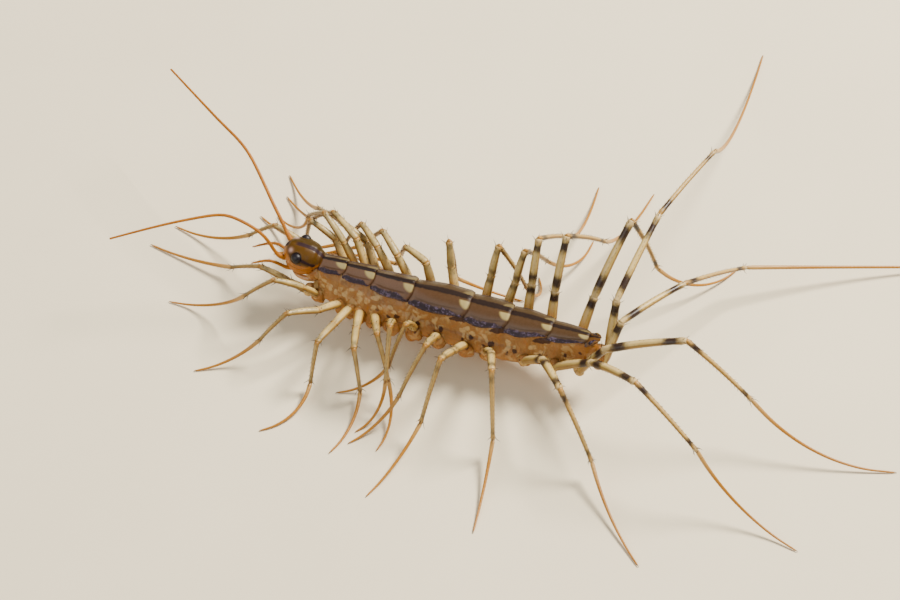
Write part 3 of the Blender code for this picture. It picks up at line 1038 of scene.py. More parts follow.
@dataclass(frozen=True)
class EyeFinish:
    """Black compound eye with fine facets."""

    effects: SharedEffects
    groove: Rgb = (0.002, 0.001, 0.002)
    lens: Rgb = (0.007, 0.004, 0.008)

    def build(self) -> bpy.types.Material:
        """Make the finish of the eyes.

        Returns:
            The material.
        """
        c = Canvas("Compound eye", self.effects)
        facet = c.borders(c.place, 16.0)
        lens = facet.remap(0.0, 0.12)
        return c.dress(lens, 0.15, 0.02, Base_Color=c.mix(lens, self.groove, self.lens), Specular_IOR_Level=0.35,
                       Roughness=facet.remap(0.0, 0.12, 0.55, 0.4))


@dataclass(frozen=True)
class FangFinish:
    """Amber horn that darkens to the tip of the poison claw."""

    effects: SharedEffects
    amber: Rgb = (0.5, 0.27, 0.11)
    brown: Rgb = (0.46, 0.2, 0.05)
    tip: Rgb = (0.05, 0.015, 0.008)

    def build(self) -> bpy.types.Material:
        """Make the finish of the fangs.

        Returns:
            The material.
        """
        c = Canvas("Fang horn", self.effects)
        blotch = c.mottle(2.0, 1.6)
        colour = c.layer(self.amber, (blotch, self.brown), (c.note("along").remap(0.75, 1.0), self.tip))
        return c.dress(c.grain(10.0, 0.4), 0.2, 0.03, Base_Color=colour, Roughness=blotch.between(0.2, 0.32),
                       Coat_Weight=0.4, Coat_Roughness=0.12)


# Trunk

@dataclass(frozen=True)
class Swell:
    """A size that grows behind the head and shrinks toward the tail.

    Attributes:
        front: The size behind the head.
        middle: The size at mid body.
        rear: The size at the tail.
        grows: Where it grows.
        shrinks: Where it shrinks.
    """

    front: float
    middle: float
    rear: float
    grows: tuple[float, float]
    shrinks: tuple[float, float]

    def at(self, x: float) -> float:
        """Return the size at a place along the body.

        Args:
            x: The place along the body.

        Returns:
            The size.
        """
        grown = ease((x - self.grows[0]) / (self.grows[1] - self.grows[0]))
        shrunk = ease((x - self.shrinks[0]) / (self.shrinks[1] - self.shrinks[0]))
        return blend(self.front, self.middle, grown) - (self.middle - self.rear) * shrunk


@dataclass(frozen=True)
class TrunkForm:
    """The trunk's sizes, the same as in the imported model."""

    plate_ends: tuple[float, ...] = (5.74, 8.47, 12.17, 17.49, 21.26, 25.15, 28.55, 29.9)
    front: float = 4.05
    ridge_height: float = 6.8
    half_angle: float = math.radians(60)
    back: Swell = Swell(1.05, 1.75, 0.75, (3.5, 16.5), (20.0, 31.0))
    flank: Swell = Swell(1.2, 1.75, 0.75, (3.5, 11.5), (20.0, 31.0))
    roof_drop: float = 0.84
    roof_power: float = 1.25
    roof_fades: tuple[float, float] = (10.0, 16.0)
    leg_root_x: tuple[float, ...] = (
        4.45, 5.15, 6.2, 7.1, 8.0, 9.4, 11.1, 13.2, 15.4, 18.1, 20.1, 22.2, 24.5, 27.3, 30.35)
    leg_root_height: float = 3.6
    leg_root_out: float = 0.6
    last_root: tuple[float, float] = (0.6, 4.3)

    LEFT_SWING = {1: -1.45, 2: -1.3, 12: 1.3, 13: 1.7, 14: 1.2}

    def roof_share(self, x: float) -> float:
        """Return 1 where the back is roofed, behind the head, and 0 where it is arched."""
        return 1.0 - ease((x - self.roof_fades[0]) / (self.roof_fades[1] - self.roof_fades[0]))

    def back_point(self, x: float, share: float, half: float, top: float, out: float) -> tuple[float, float]:
        """Return where the back lies across the body.

        Args:
            x: The place along the body.
            share: The share of the half width, from -1 to 1.
            half: The half width there.
            top: The height of the ridge.
            out: How far the point stands off the plain back.

        Returns:
            The place across and the height.
        """
        radius = half / math.sin(self.half_angle)
        angle = self.half_angle * share
        arch = ((radius + out) * math.sin(angle), top - radius + (radius + out) * math.cos(angle))
        tilt = math.copysign(math.atan(self.roof_drop * self.roof_power * abs(share) ** (self.roof_power - 1)), share)
        fall = self.roof_drop * half * abs(share) ** self.roof_power
        roof = (half * share + out * math.sin(tilt), top - fall + out * math.cos(tilt))
        roofed = self.roof_share(x)
        return blend(arch[0], roof[0], roofed), blend(arch[1], roof[1], roofed)

    def back_height(self, x: float, y: float, top: float) -> float:
        """Return the height of the back at a place.

        Args:
            x: The place along the body.
            y: The place across it.
            top: The height of the ridge.

        Returns:
            The height.
        """
        half = self.back.at(x)
        radius = half / math.sin(self.half_angle)
        arch = top - radius + math.sqrt(max(radius * radius - y * y, 0.0))
        roof = top - self.roof_drop * half * (abs(y) / half) ** self.roof_power
        return blend(arch, roof, self.roof_share(x))

    def leg_root(self, number: int, side: Side) -> np.ndarray:
        """Return where a leg leaves its coxa.

        Args:
            number: The leg's number from the head.
            side: The side that it is on.

        Returns:
            The point.
        """
        x = self.leg_root_x[number - 1]
        if number == len(self.leg_root_x):
            return np.array([x, side.value * self.last_root[0], self.last_root[1]])
        swing = self.LEFT_SWING.get(number, 0.0) if side is Side.LEFT else 0.0
        return np.array([x + swing, side.value * (self.flank.at(x) + self.leg_root_out), self.leg_root_height])


@dataclass
class Trunk:
    """The back plates and the skin of the flanks below them.

    Attributes:
        sclerites: Small hard plates of a flank joint: place from the leg root,
            height, and half sizes along and up.
        leg_spots: Dark spots over a leg root: place from it, height and size.
        tail_spots: Dark spots of the last joint: place, height and size.
        end_spots: Dark spots of the blunt tail.
        lobe_spots: Dark spots of a coxal lobe: centre and half sizes, as parts of its size.
    """

    bench: Bench
    effects: SharedEffects
    form: TrunkForm = field(default_factory=TrunkForm)
    plate_lead: float = 0.38
    plate_thickness: float = 0.12
    plate_overlap: float = 0.32
    plate_rise: tuple[float, float] = (-0.06, 0.3)
    lip_height: float = 0.06
    last_plate_spread: Table = ((0.0, 0.98), (0.3, 0.96), (0.7, 0.8), (1.0, 0.45))
    skin_ends: tuple[float, float] = (1.25, 0.1)
    skin_sink: float = 0.3
    skin_bulge: float = 0.85
    skin_depth: Swell = Swell(4.2, 5.2, 2.8, (3.5, 7.5), (21.0, 31.0))
    lobe_size: tuple[float, float, float] = (0.85, 0.7, 0.95)
    sclerites: tuple[Point, ...] = ((-0.25, 5.05, 0.36, 0.26), (0.35, 4.7, 0.3, 0.3), (-0.2, 4.45, 0.24, 0.2))
    leg_spots: tuple[Point, ...] = ((0.35, 4.4, 0.27), (-0.3, 4.15, 0.22))
    tail_spots: tuple[Point, ...] = ((27.0, 4.8, 0.24), (27.35, 4.1, 0.26), (28.3, 5.3, 0.22))
    end_spots: tuple[Point, ...] = (
        (30.2, -0.6, 5.3), (30.2, 0.6, 5.3), (29.6, -0.8, 4.7), (29.6, 0.8, 4.7), (30.7, 0.0, 4.9))
    lobe_spots: tuple[tuple[Point, Point], ...] = (
        ((0.35, 0.6, 0.7), (0.22, 0.5, 0.15)), ((-0.5, 0.75, 0.4), (0.12, 0.5, 0.2)))
    throat_centre: tuple[float, float, float] = (3.05, 0.0, 4.75)
    throat_size: tuple[float, float, float] = (1.0, 1.2, 0.85)
    tail_centre: tuple[float, float, float] = (29.9, 0.0, 4.95)
    tail_size: tuple[float, float, float] = (0.95, 0.8, 0.95)
    skin_seed: int = 5

    def build(self) -> None:
        """Model and dress the whole trunk."""
        horn = PlateFinish(self.effects).build()
        count = len(self.form.plate_ends)
        start = self.form.front - self.plate_lead
        for index, end in enumerate(self.form.plate_ends, start=1):
            plate = self.model_plate(index, start, end + (self.plate_overlap if index < count else 0.0))
            self.bench.finish(plate, horn, "shell")
            start = end
        lobes = [self.model_lobe(number, side) for side in Side for number in range(1, len(self.form.leg_root_x) + 1)]
        skin = self.bench.join("flank_skin", [self.model_skin(), self.model_throat(), self.model_tail()] + lobes)
        nodes = [f"trunk_{k}" for k in range(1, count + 1)]
        self.bench.finish(skin, FlankFinish(self.effects).build(), "leg", *nodes)

    def plate_spread(self, index: int, share: float) -> float:
        """Return how wide a plate is along its length.

        Args:
            index: The plate's number from the head.
            share: The share of its length.

        Returns:
            Its share of the back's width.
        """
        if index == len(self.form.plate_ends):
            return float(np.interp(share, *zip(*self.last_plate_spread)))
        front = blend(0.93, 1.04, ease(share / 0.35))
        rear = blend(0.97, 0.87, ease((index - 3) / 2))
        return blend(front, rear, ease((share - 0.45) / 0.55))

    def plate_relief(self, a: float, s: float) -> float:
        """Shape the rim, the swell, the grooves and the keel of a plate.

        Args:
            a: The share across it, from -1 to 1.
            s: The share along it.

        Returns:
            How far its surface stands off there.
        """
        rim = self.lip_height * (bump(abs(a), 0.96, 0.05) + 0.6 * bump(s, 0.95, 0.03))
        swell = 0.06 * math.cos(a * math.pi / 2) * math.sin(s * math.pi)
        groove = -0.05 * bump(abs(a), 0.66, 0.05) * ease(4 * s) * ease(4 * (1 - s))
        keel = 0.04 * bump(a, 0.0, 0.08)
        return rim + swell + groove + keel

    def model_plate(self, index: int, x0: float, x1: float) -> Item:
        """Model one back plate from a grid.

        Args:
            index: The plate's number from the head.
            x0: The front edge.
            x1: The rear edge, which lies over the next plate.

        Returns:
            The plate, with a real thickness and a raised rim.
        """
        bench = self.bench
        bench.clear_choice()
        bpy.ops.mesh.primitive_grid_add(x_subdivisions=30, y_subdivisions=44, size=2.0)
        plate = bpy.context.object
        plate.name = f"back_plate_{index}"
        grid = bench.places(plate)
        across = grid[:, 1].copy()
        along = (grid[:, 0] + 1) / 2
        points = np.empty_like(grid)
        for k, (a, s) in enumerate(zip(across, along)):
            front = x0 + (-0.2 * a * a if index == 1 else 0.12 * abs(a) ** 4)
            rear = x1 - 0.5 * abs(a) ** 5 - 0.04 * bump(a, 0.0, 0.14)
            x = blend(front, rear, s)
            half = self.form.back.at(x) * self.plate_spread(index, s)
            lift = blend(*self.plate_rise, s ** 1.3) - 0.1 * ease((s - 0.92) / 0.08)
            points[k] = (x, *self.form.back_point(x, a, half, self.form.ridge_height + lift, self.plate_relief(a, s)))
        bench.put_places(plate, bench.stance.to_model(points))
        bench.note(plate, across=across, lengthwise=along, before_rear=(1 - along) * (x1 - x0))
        bench.choose(plate)
        wall = plate.modifiers.new("Thickness", "SOLIDIFY")
        wall.thickness = self.plate_thickness * MM
        wall.offset = -1.0
        finer = plate.modifiers.new("Smoothing", "SUBSURF")
        finer.levels = finer.render_levels = 1
        for modifier in (wall, finer):
            bpy.ops.object.modifier_apply(modifier=modifier.name)
        bpy.ops.object.shade_smooth()
        return plate

    def skin_place(self, share: float, angle: float) -> Point:
        """Shape the skin of the trunk.

        Args:
            share: The share along the trunk.
            angle: The angle round it.

        Returns:
            The place.
        """
        form = self.form
        x = blend(form.front - self.skin_ends[0], form.plate_ends[-1] - self.skin_ends[1], share)
        close = min(1.0, (1 - abs(2 * share - 1)) * 14) ** 0.5 * blend(0.66, 1.0, ease((x - 2.9) / 1.7))
        top = form.ridge_height - self.skin_sink
        middle = blend(form.ridge_height - self.skin_depth.at(x), top, 0.5)
        flat = signed_power(math.cos(angle), 0.7)
        tall = signed_power(math.sin(angle), 0.8)
        z = middle + (top - middle) * tall * close
        fuller = self.skin_bulge * blend(1.0, 0.5, ease((x - 22.0) / 8.0))
        y = (form.flank.at(x) + fuller * bump(z, form.leg_root_height - 0.25, 1.35)) * flat * close
        if tall > 0.15:
            z = min(z, form.back_height(x, y, top))
        fold = rough(x * 1.3, y * 0.9, z * 1.3)
        crease = abs(math.sin((x + 0.5 * rough(x, z, 2.0)) * math.pi / 0.95))
        y += (0.09 * fold - 0.05 * (1 - crease) ** 3) * close * math.copysign(1.0, flat)
        z += 0.05 * rough(x * 1.7, z * 1.7, 4.0) * (1 - max(tall, 0.0))
        return x, y, z

    def model_skin(self) -> Item:
        """Model the flanks and the belly as one closed skin.

        Returns:
            The skin, with its marks stored as "seam", "plate" and "spot"; "spot" also holds the painted shadow under
            the plates' rear corners.
        """
        form = self.form
        skin = self.bench.ball("skin", 110, 260, self.skin_place)
        points = self.bench.animal_places(skin)
        x, y, z = points.T
        upright = points[:, [0, 2]]
        spots = [blot(upright, (at_x, at_z), size) for at_x, at_z, size in self.tail_spots]
        # A wedge under each plate's cut rear corner: painted shadow over dark soft tissue, stored with the spots.
        for end in form.plate_ends[2:-2]:
            ahead = end + 0.15 - x
            narrow = 0.3 * np.clip(1.0 - 0.35 * ahead, 0.3, 1.0)
            away = ((ahead - 0.5) / 0.85) ** 2 + ((5.92 - 0.25 * ahead - z) / narrow) ** 2
            spots.append(1.7 * ease((end - 8.0) / 5.0) * np.exp(-away))
        plates = []
        seams = []
        wobble = 0.5 * np.array([rough(0.8 * px, py, 1.1 * pz) for px, py, pz in points])
        rng = np.random.default_rng(self.skin_seed)
        for number, root in enumerate(form.leg_root_x[:-1], start=1):
            for ahead, height, long, tall in self.sclerites:
                ahead, height = (ahead, height) + rng.uniform(-0.12, 0.12, 2)
                long, tall = (long, tall) * rng.uniform(0.7, 1.15, 2)
                away = np.abs((x - root - ahead + wobble) / long) ** 3 + np.abs((z - height + wobble) / tall) ** 3
                plates.append(np.exp(-away))
            strength = ease((number - 3) / 4)
            for ahead, height, size in self.leg_spots:
                ahead, height = (root + ahead, height) + rng.uniform(-0.08, 0.08, 2)
                spots.append(strength * rng.uniform(0.8, 1.05) * blot(upright, (ahead, height), (1.2 * size, size)))
            seams.append(bump(x, 0.5 * (root + form.leg_root_x[number]) + wobble, 0.1))
        flank = np.abs(y) > 0.5
        spot, plate, seam = (np.max(rows, axis=0) * flank for rows in (spots, plates, seams))
        self.bench.note(skin, seam=seam, plate=plate, spot=spot)
        return skin

    def model_throat(self) -> Item:
        """Model the flesh under the rear of the head, which carries the poison claws.

        Returns:
            The throat.
        """
        def place(share: float, angle: float) -> Point:
            """Return the throat's place for a share from front to back and an angle round it."""
            x, y, z = np.array(self.throat_centre) + round_way(share, angle, 0.85) * self.throat_size
            return x, y, z + 0.06 * rough(x * 2.0, angle, 1.0)

        throat = self.bench.ball("throat", 40, 28, place)
        self.bench.note(throat, spot=0.0)
        return throat

    def model_lobe(self, number: int, side: Side) -> Item:
        """Model the swollen coxa that one leg turns in.

        Args:
            number: The leg's number from the head.
            side: The side that it is on.

        Returns:
            The lobe, with its dark spots stored as "spot".
        """
        count = len(self.form.leg_root_x)
        root = self.form.leg_root(number, side)
        others = [self.form.leg_root(k, side)[0] for k in range(1, count + 1) if k != number]
        pitch = min(abs(root[0] - x) for x in others)
        last = number == count
        ends = max(ease((number - 10) / 3), ease((3 - number) / 2))
        size = np.array(self.lobe_size) * (0.8 if last else blend(1.0, 0.72, ends))
        size[0] = min(size[0], 0.5 * pitch + 0.25)
        size = size * (0.65 if number == count - 1 else 1.0)
        tuck = side.value * blend(0.08, -0.3, ends)
        centre = root + np.array([-0.45, 0.0, 0.0] if last else [0.05, tuck, blend(-0.45, 0.1, ends)])

        def place(share: float, angle: float) -> Point:
            """Shape the lobe.

            Args:
                share: The share from the body outward.
                angle: The angle round it.

            Returns:
                The place.
            """
            out, along, up = round_way(share, angle)
            way = np.array([along, side.value * out, up])
            swell = 1 + 0.2 * noise.noise(Vector(way * 1.3) + Vector((number, side.value, 0.0)))
            swell += 0.08 * noise.noise(Vector(way * 3.1) + Vector((number, side.value, 5.0)))
            swell -= 0.1 * bump(up, 0.1, 0.12) * max(out, 0.0)
            return centre + way * size * swell

        lobe = self.bench.ball("coxal_lobe", 28, 20, place)
        offset = (self.bench.animal_places(lobe) - centre) / size * (1, side.value, 1)
        strength = blend(0.3, 0.95, ease((number - 3) / 7))
        spots = [blot(offset, mark, reach) for mark, reach in self.lobe_spots]
        self.bench.note(lobe, spot=strength * np.max(spots, axis=0))
        return lobe

    def model_tail(self) -> Item:
        """Model the blunt end of the body behind the last plate.

        Returns:
            The tail end, with its dark spots stored as "spot".
        """
        def place(share: float, angle: float) -> Point:
            """Return the tail's place for a share from front to back and an angle round it."""
            way = round_way(share, angle, 0.85) * self.tail_size
            return np.array(self.tail_centre) + way * (1 + 0.08 * noise.noise(Vector(way * 2.2)))

        tail = self.bench.ball("tail_end", 36, 26, place)
        points = self.bench.animal_places(tail)
        self.bench.note(tail, spot=0.8 * np.max([blot(points, centre, 0.2) for centre in self.end_spots], axis=0))
        return tail


# Legs

@dataclass(frozen=True)
class Pose:
    """How one leg is held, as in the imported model, with its turns and climbs in degrees.

    Attributes:
        yaw: The turn of its prefemur from straight out of the body toward the tail.
        lift: The climb of its prefemur.
        femur_yaw: The turn of its femur.
        knee_lift: The climb of its femur.
        shin_yaw: The turn of its tibia.
        fall: The fall of its tibia.
        foot_yaw: The turn of its tarsus at the ankle.
        toe_yaw: The turn of its tarsus at the claw.
        thigh: The length of its prefemur and femur, beside the usual one.
        reach: The length of its tarsus, beside the usual one.
    """

    yaw: float
    lift: float
    femur_yaw: float
    knee_lift: float
    shin_yaw: float
    fall: float
    foot_yaw: float
    toe_yaw: float
    thigh: float
    reach: float


POSES: dict[Side, tuple[Pose, ...]] = {
    Side.LEFT: (
        Pose(-115, -19, -93, 13, -98, 33, -90, -99, 1.04, 1.17),
        Pose(-34, 54, -64, 28, -78, 46, -96, -85, 1.0, 1.25),
        Pose(-26, 26, -48, 17, -58, 52, -50, -59, 1.09, 0.92),
        Pose(-8, 15, -8, 14, -5, 70, 10, -54, 1.06, 0.93),
        Pose(15, 19, 18, 17, 43, 73, 17, -21, 1.03, 0.93),
        Pose(25, 36, 25, 37, 52, 68, 38, -13, 1.0, 0.89),
        Pose(20, 49, 20, 48, 11, 63, 5, -39, 1.03, 0.73),
        Pose(12, 58, 9, 51, -57, 74, -56, -65, 0.96, 0.71),
        Pose(11, 46, 8, 42, -38, 63, -29, -39, 1.01, 0.71),
        Pose(-2, 40, -3, 38, -13, 62, -11, -20, 1.0, 0.89),
        Pose(29, 48, 21, 32, 24, 67, 11, 8, 1.01, 0.87),
        Pose(58, 48, 39, 18, 61, 54, 35, 50, 1.05, 0.93),
        Pose(79, 41, 57, 31, 72, 31, 77, 76, 1.29, 0.99),
        Pose(94, 61, 99, 24, 90, 42, 75, 110, 1.14, 0.99),
        Pose(151, 66, 151, -5, 153, 29, 124, 112, 0.99, 0.91),
    ),
    Side.RIGHT: (
        Pose(-84, 19, -84, 18, -88, 46, -91, -79, 1.25, 1.18),
        Pose(-51, 43, -79, 20, -57, 78, -62, -62, 1.0, 1.0),
        Pose(-68, 57, -61, 30, -56, 49, -62, -59, 1.1, 0.99),
        Pose(-56, 60, -59, 8, -60, 51, -42, -53, 1.19, 1.02),
        Pose(-42, 29, -79, 20, -52, 30, -47, -41, 1.02, 1.17),
        Pose(-59, 46, -51, 4, -67, 65, -107, -116, 1.0, 0.89),
        Pose(-67, 56, -51, 13, -61, 60, -99, -120, 0.92, 0.85),
        Pose(-55, 68, -66, -2, -40, 66, -81, -104, 0.86, 0.84),
        Pose(-40, 64, -36, 76, 19, 81, 59, 86, 0.87, 0.8),
        Pose(14, 71, 19, 73, 70, 67, 37, -35, 0.94, 0.68),
        Pose(24, 68, 27, 73, 11, 55, 39, -3, 0.91, 0.86),
        Pose(-1, 73, -2, 68, 12, 45, -4, -7, 1.01, 1.16),
        Pose(-6, 69, 2, 63, 21, 47, 2, 5, 0.99, 1.05),
        Pose(15, 61, 17, 47, 49, 71, 66, 22, 1.12, 0.7),
        Pose(0, 71, 6, 17, 14, 1, -6, -6, 1.18, 0.97),
    ),
}


@dataclass(frozen=True)
class LegShape:
    """The shape of one podomere.

    Attributes:
        profile: Shares along it with the radius there, as a part of its full radius.
        bands: Dark bands as centre, half width and strength.
        knobs: Pale knobs as centre and half width.
        bow: How far it arches, as a part of its length.
        flat: Its width and its height, as parts of its round section.
        girth: Its full radius on the first leg, and the one that it grows toward on the last.
        last_girth: Its full radius on the last leg, which is slimmer than that.
        inset: How far its start is moved along it from the joint.
        near_warmth: How orange its near end is, beside its far end.
        warmth: How orange it is all over.
        smear: How dusky it is all over and in patches, on legs with faint bands.
        spurs: How many long spurs it has at its far end.
    """

    profile: Table
    bands: tuple[tuple[float, float, float], ...]
    knobs: Table
    bow: float
    flat: tuple[float, float]
    girth: tuple[float, float]
    last_girth: float
    inset: float
    near_warmth: float = 1.0
    warmth: float = 0.0
    smear: tuple[float, float] = (0.3, 0.7)
    spurs: int = 4


LEG_SHAPES: dict[Podomere, LegShape] = {
    Podomere.PREFEMUR: LegShape(
        ((0.0, 0.7), (0.12, 0.95), (0.3, 1.0), (0.65, 0.93), (0.88, 0.82), (0.95, 0.9), (1.0, 0.76)),
        ((0.84, 0.1, 1.0),), ((0.985, 0.04),), 0.02, (1.28, 0.98), (0.31, 0.38), 0.34, 0.15,
        near_warmth=0.2, smear=(0.02, 0.55), spurs=5),
    Podomere.FEMUR: LegShape(
        ((0.0, 0.72), (0.06, 0.95), (0.2, 1.0), (0.55, 0.92), (0.85, 0.8), (0.95, 0.9), (1.0, 0.7)),
        ((0.2, 0.09, 1.0), (0.82, 0.09, 1.0)), ((0.02, 0.05), (0.98, 0.04)), 0.03, (1.16, 1.0), (0.28, 0.36), 0.29,
        -0.12),
    Podomere.TIBIA: LegShape(
        ((0.0, 0.75), (0.04, 1.05), (0.15, 0.92), (0.6, 0.8), (0.9, 0.74), (0.97, 0.88), (1.0, 0.7)),
        ((0.13, 0.07, 0.95), (0.87, 0.05, 0.85)), ((0.975, 0.025),), 0.02, (1.05, 1.0), (0.21, 0.25), 0.23, -0.1,
        warmth=0.35),
}


@dataclass
class Leg:
    """One walking leg, from its coxa to its claw."""

    bench: Bench
    form: TrunkForm
    number: int
    side: Side
    pose: Pose
    rng: np.random.Generator

    LAST = 15
    LAST_LENGTHS = (4.9, 7.5, 9.0, 27.0)
    TOE_RADIUS = 0.15
    SPINE_ROWS = (0.0, 72.0, 144.0, 216.0, 288.0)
    SPINE = Hair(0.9, 0.55, 0.85, 0.023)
    SPUR = Hair(0.9, 0.6, 0.7, 0.04)
    SOLE_HAIR = Hair(0.85, 0.6, 0.8, 0.01)
    BAND_STRENGTH = ((1, 0.1), (7, 0.16), (9, 0.3), (10, 0.55), (11, 0.65), (12, 0.85), (13, 1.0))
    COXA = ((0.0, 0.42), (0.4, 0.5), (0.7, 0.46), (0.8, 0.4), (0.9, 0.44), (1.0, 0.3))
    TARSUS = ((0.0, 0.17), (0.03, 0.2), (0.3, 0.155), (0.8, 0.105), (0.97, 0.08), (1.0, 0.06))
    TARSUS_SPACING = 0.08
    TARSUS_RING = 0.36

    @property
    def name(self) -> str:
        """Return the name of the leg's node."""
        return f"leg_{self.side.word}_{self.number:02d}"

    @property
    def last(self) -> bool:
        """Return whether this is one of the long last legs."""
        return self.number == self.LAST

    @property
    def band_strength(self) -> float:
        """Return how dark the bands are: faint in front and full on the last legs."""
        return float(np.interp(self.number, *zip(*self.BAND_STRENGTH)))

    def lengths(self) -> tuple[float, float, float, float]:
        """Size the prefemur, the femur, the tibia and the tarsus in this pose.

        Returns:
            The four lengths.
        """
        grow = (self.number - 1) / 13
        base = (2.7 + 1.4 * grow, 2.8 + 4.0 * grow ** 5, 3.7 + 4.7 * grow ** 1.3, 7.0 + 7.6 * grow ** 3.5)
        base = self.LAST_LENGTHS if self.last else base
        return base[0] * self.pose.thigh, base[1] * self.pose.thigh, base[2], base[3] * self.pose.reach

    def joints(self) -> list[np.ndarray]:
        """Place the leg's root, the end of its prefemur, its knee and its ankle.

        Returns:
            The four points.
        """
        prefemur, femur, tibia, _ = self.lengths()
        root = self.form.leg_root(self.number, self.side)
        joint = root + heading(self.side, self.pose.yaw, self.pose.lift) * prefemur
        knee = joint + heading(self.side, self.pose.femur_yaw, self.pose.knee_lift) * femur
        ankle = knee + heading(self.side, self.pose.shin_yaw, -self.pose.fall) * tibia
        return [root, joint, knee, ankle]

    def tarsus_points(self, start: np.ndarray) -> list[np.ndarray]:
        """Lead the tarsus down until it ends flat on the floor.

        Args:
            start: The ankle.

        Returns:
            The points.
        """
        steps = 12 if self.last else 6
        step = self.lengths()[3] / steps
        shares = [(k + 0.5) / steps for k in range(steps)]
        low, high, slope = -0.3, 1.5, 0.0
        for _ in range(30):
            slope = (low + high) / 2
            drop = sum(step * math.sin(slope * (1 - share) ** 0.8) for share in shares)
            if drop < start[2] - 0.8 * self.TOE_RADIUS:
                low = slope
            else:
                high = slope
        points = [start]
        for share in shares:
            yaw = blend(self.pose.foot_yaw, self.pose.toe_yaw, share)
            points.append(points[-1] + heading(self.side, yaw, -math.degrees(slope * (1 - share) ** 0.8)) * step)
        return points

    def model_podomere(self, kind: Podomere, start: np.ndarray, end: np.ndarray, yaw: float) -> list[Item]:
        """Model one stiff joint of the leg with its spines.

        Args:
            kind: Which joint it is.
            start: The joint that it turns on.
            end: Its far end.
            yaw: Its turn, which gives its sideways axis.

        Returns:
            The tube and its spines.
        """
        shape = LEG_SHAPES[kind]
        start = start + unit(end - start) * shape.inset
        length = float(np.linalg.norm(end - start))
        run = (end - start) / length
        level = heading(self.side, yaw + 90, 0)
        up = np.cross(level, run)
        up = up if up[2] > 0 else -up
        share = np.linspace(0.0, 1.0, max(int(length / 0.09), 24))
        path = start + np.outer(share * length, run) + np.outer(np.sin(share * math.pi) * shape.bow * length, up)
        girth = shape.last_girth if self.last else blend(*shape.girth, (self.number - 1) / 14)
        radii = girth * sized(path, shape.profile)
        tube, along = self.bench.tube(f"{self.name}_{kind.name.lower()}", path, radii, 5, shape.flat, level)
        strength = self.band_strength
        dark = np.max([part * bump(along, centre, half * 1.35) for centre, half, part in shape.bands], axis=0)
        pale = np.max([bump(along, centre, half) for centre, half in shape.knobs], axis=0)
        warm = np.maximum(bump(along, 0.0, 0.05) * shape.near_warmth, bump(along, 1.0, 0.06))
        even, patch = shape.smear
        patches = patch * bump(along, 0.82, 0.13) + 0.5 * patch * bump(along, 0.25, 0.18)
        self.bench.note(tube, band=dark * strength, knob=pale * ease((self.number - 9) / 4) * 0.6,
                        shade=(1 - strength) * (even + patches),
                        warm=np.clip(shape.warmth + (0.8 - 0.4 * strength) * warm, 0.0, 1.0))
        return [tube, self.model_spines(shape.spurs, path, radii, run, level, up)]

    def model_spines(self, spurs: int, path: np.ndarray, radii: np.ndarray, run: np.ndarray, level: np.ndarray,
                     up: np.ndarray) -> Item:
        """Model the fine spines in rows along a podomere and the longer spurs at its end.

        Args:
            spurs: How many spurs it has.
            path: Its middle line.
            radii: Its radius at each point.
            run: The way that it runs.
            level: Its sideways axis.
            up: Its upright axis.

        Returns:
            The spines as one mesh.
        """
        hairs = []
        for row in self.SPINE_ROWS:
            for k in range(3, len(path) - 4, 5):
                angle = math.radians(row + self.rng.uniform(-12, 12))
                out = level * math.cos(angle) + up * math.sin(angle)
                hairs.append(self.SPINE.grow(path[k], radii[k], out, run, self.rng.uniform(0.18, 0.36)))
        for k in range(spurs):
            angle = 2 * math.pi * (k + self.rng.uniform(-0.2, 0.2)) / spurs
            out = level * math.cos(angle) + up * math.sin(angle)
            hairs.append(self.SPUR.grow(path[-4], radii[-4], out, run, self.rng.uniform(0.45, 0.95)))
        return self.bench.bristles(f"{self.name}_spines", hairs)

    def model_tarsus(self, points: list[np.ndarray]) -> list[Item]:
        """Model the whip-like tarsus of many small rings, with its claw and sole hairs.

        Args:
            points: Points down its middle line.

        Returns:
            The tube, the claw and the hairs.
        """
        path = smooth_path(points, self.TARSUS_SPACING)
        rings = max(int(self.TARSUS_SPACING * len(path) / self.TARSUS_RING), 10)
        phase = (np.linspace(0.0, 1.0, len(path)) * rings) % 1.0
        radii = sized(path, self.TARSUS) * (0.94 + 0.12 * phase)
        path[:, 2] = np.maximum(path[:, 2], radii * 0.9)
        tube, along = self.bench.tube(f"{self.name}_tarsus", path, radii, 4)
        self.bench.note(tube, warm=np.clip(0.6 + 1.6 * along, 0.0, 1.0), knob=0.0,
                        band=0.35 * bump((along * rings) % 1.0, 0.0, 0.12) + 0.3 * bump(along, 0.0, 0.03))
        run = unit(path[-1] - path[-4])
        tip = path[-1] + run * 0.28
        tip[2] = 0.02
        claw_path = smooth_path([path[-1], path[-1] + run * 0.15 + (0, 0, 0.03), tip], 0.04)
        claw, _ = self.bench.tube(f"{self.name}_claw", claw_path, np.linspace(0.06, 0.012, len(claw_path)), 2)
        self.bench.note(claw, warm=1.0, band=0.5)
        hairs = []
        for k in range(4, len(path) - 2, 4):
            ahead = unit(path[k + 1] - path[k])
            angle = self.rng.uniform(0, 2 * math.pi)
            out = np.cross(ahead, UP) * math.cos(angle) + UP * math.sin(angle)
            hairs.append(self.SOLE_HAIR.grow(path[k], radii[k], out, ahead, self.rng.uniform(0.08, 0.16)))
        return [tube, claw, self.bench.bristles(f"{self.name}_hairs", hairs)]

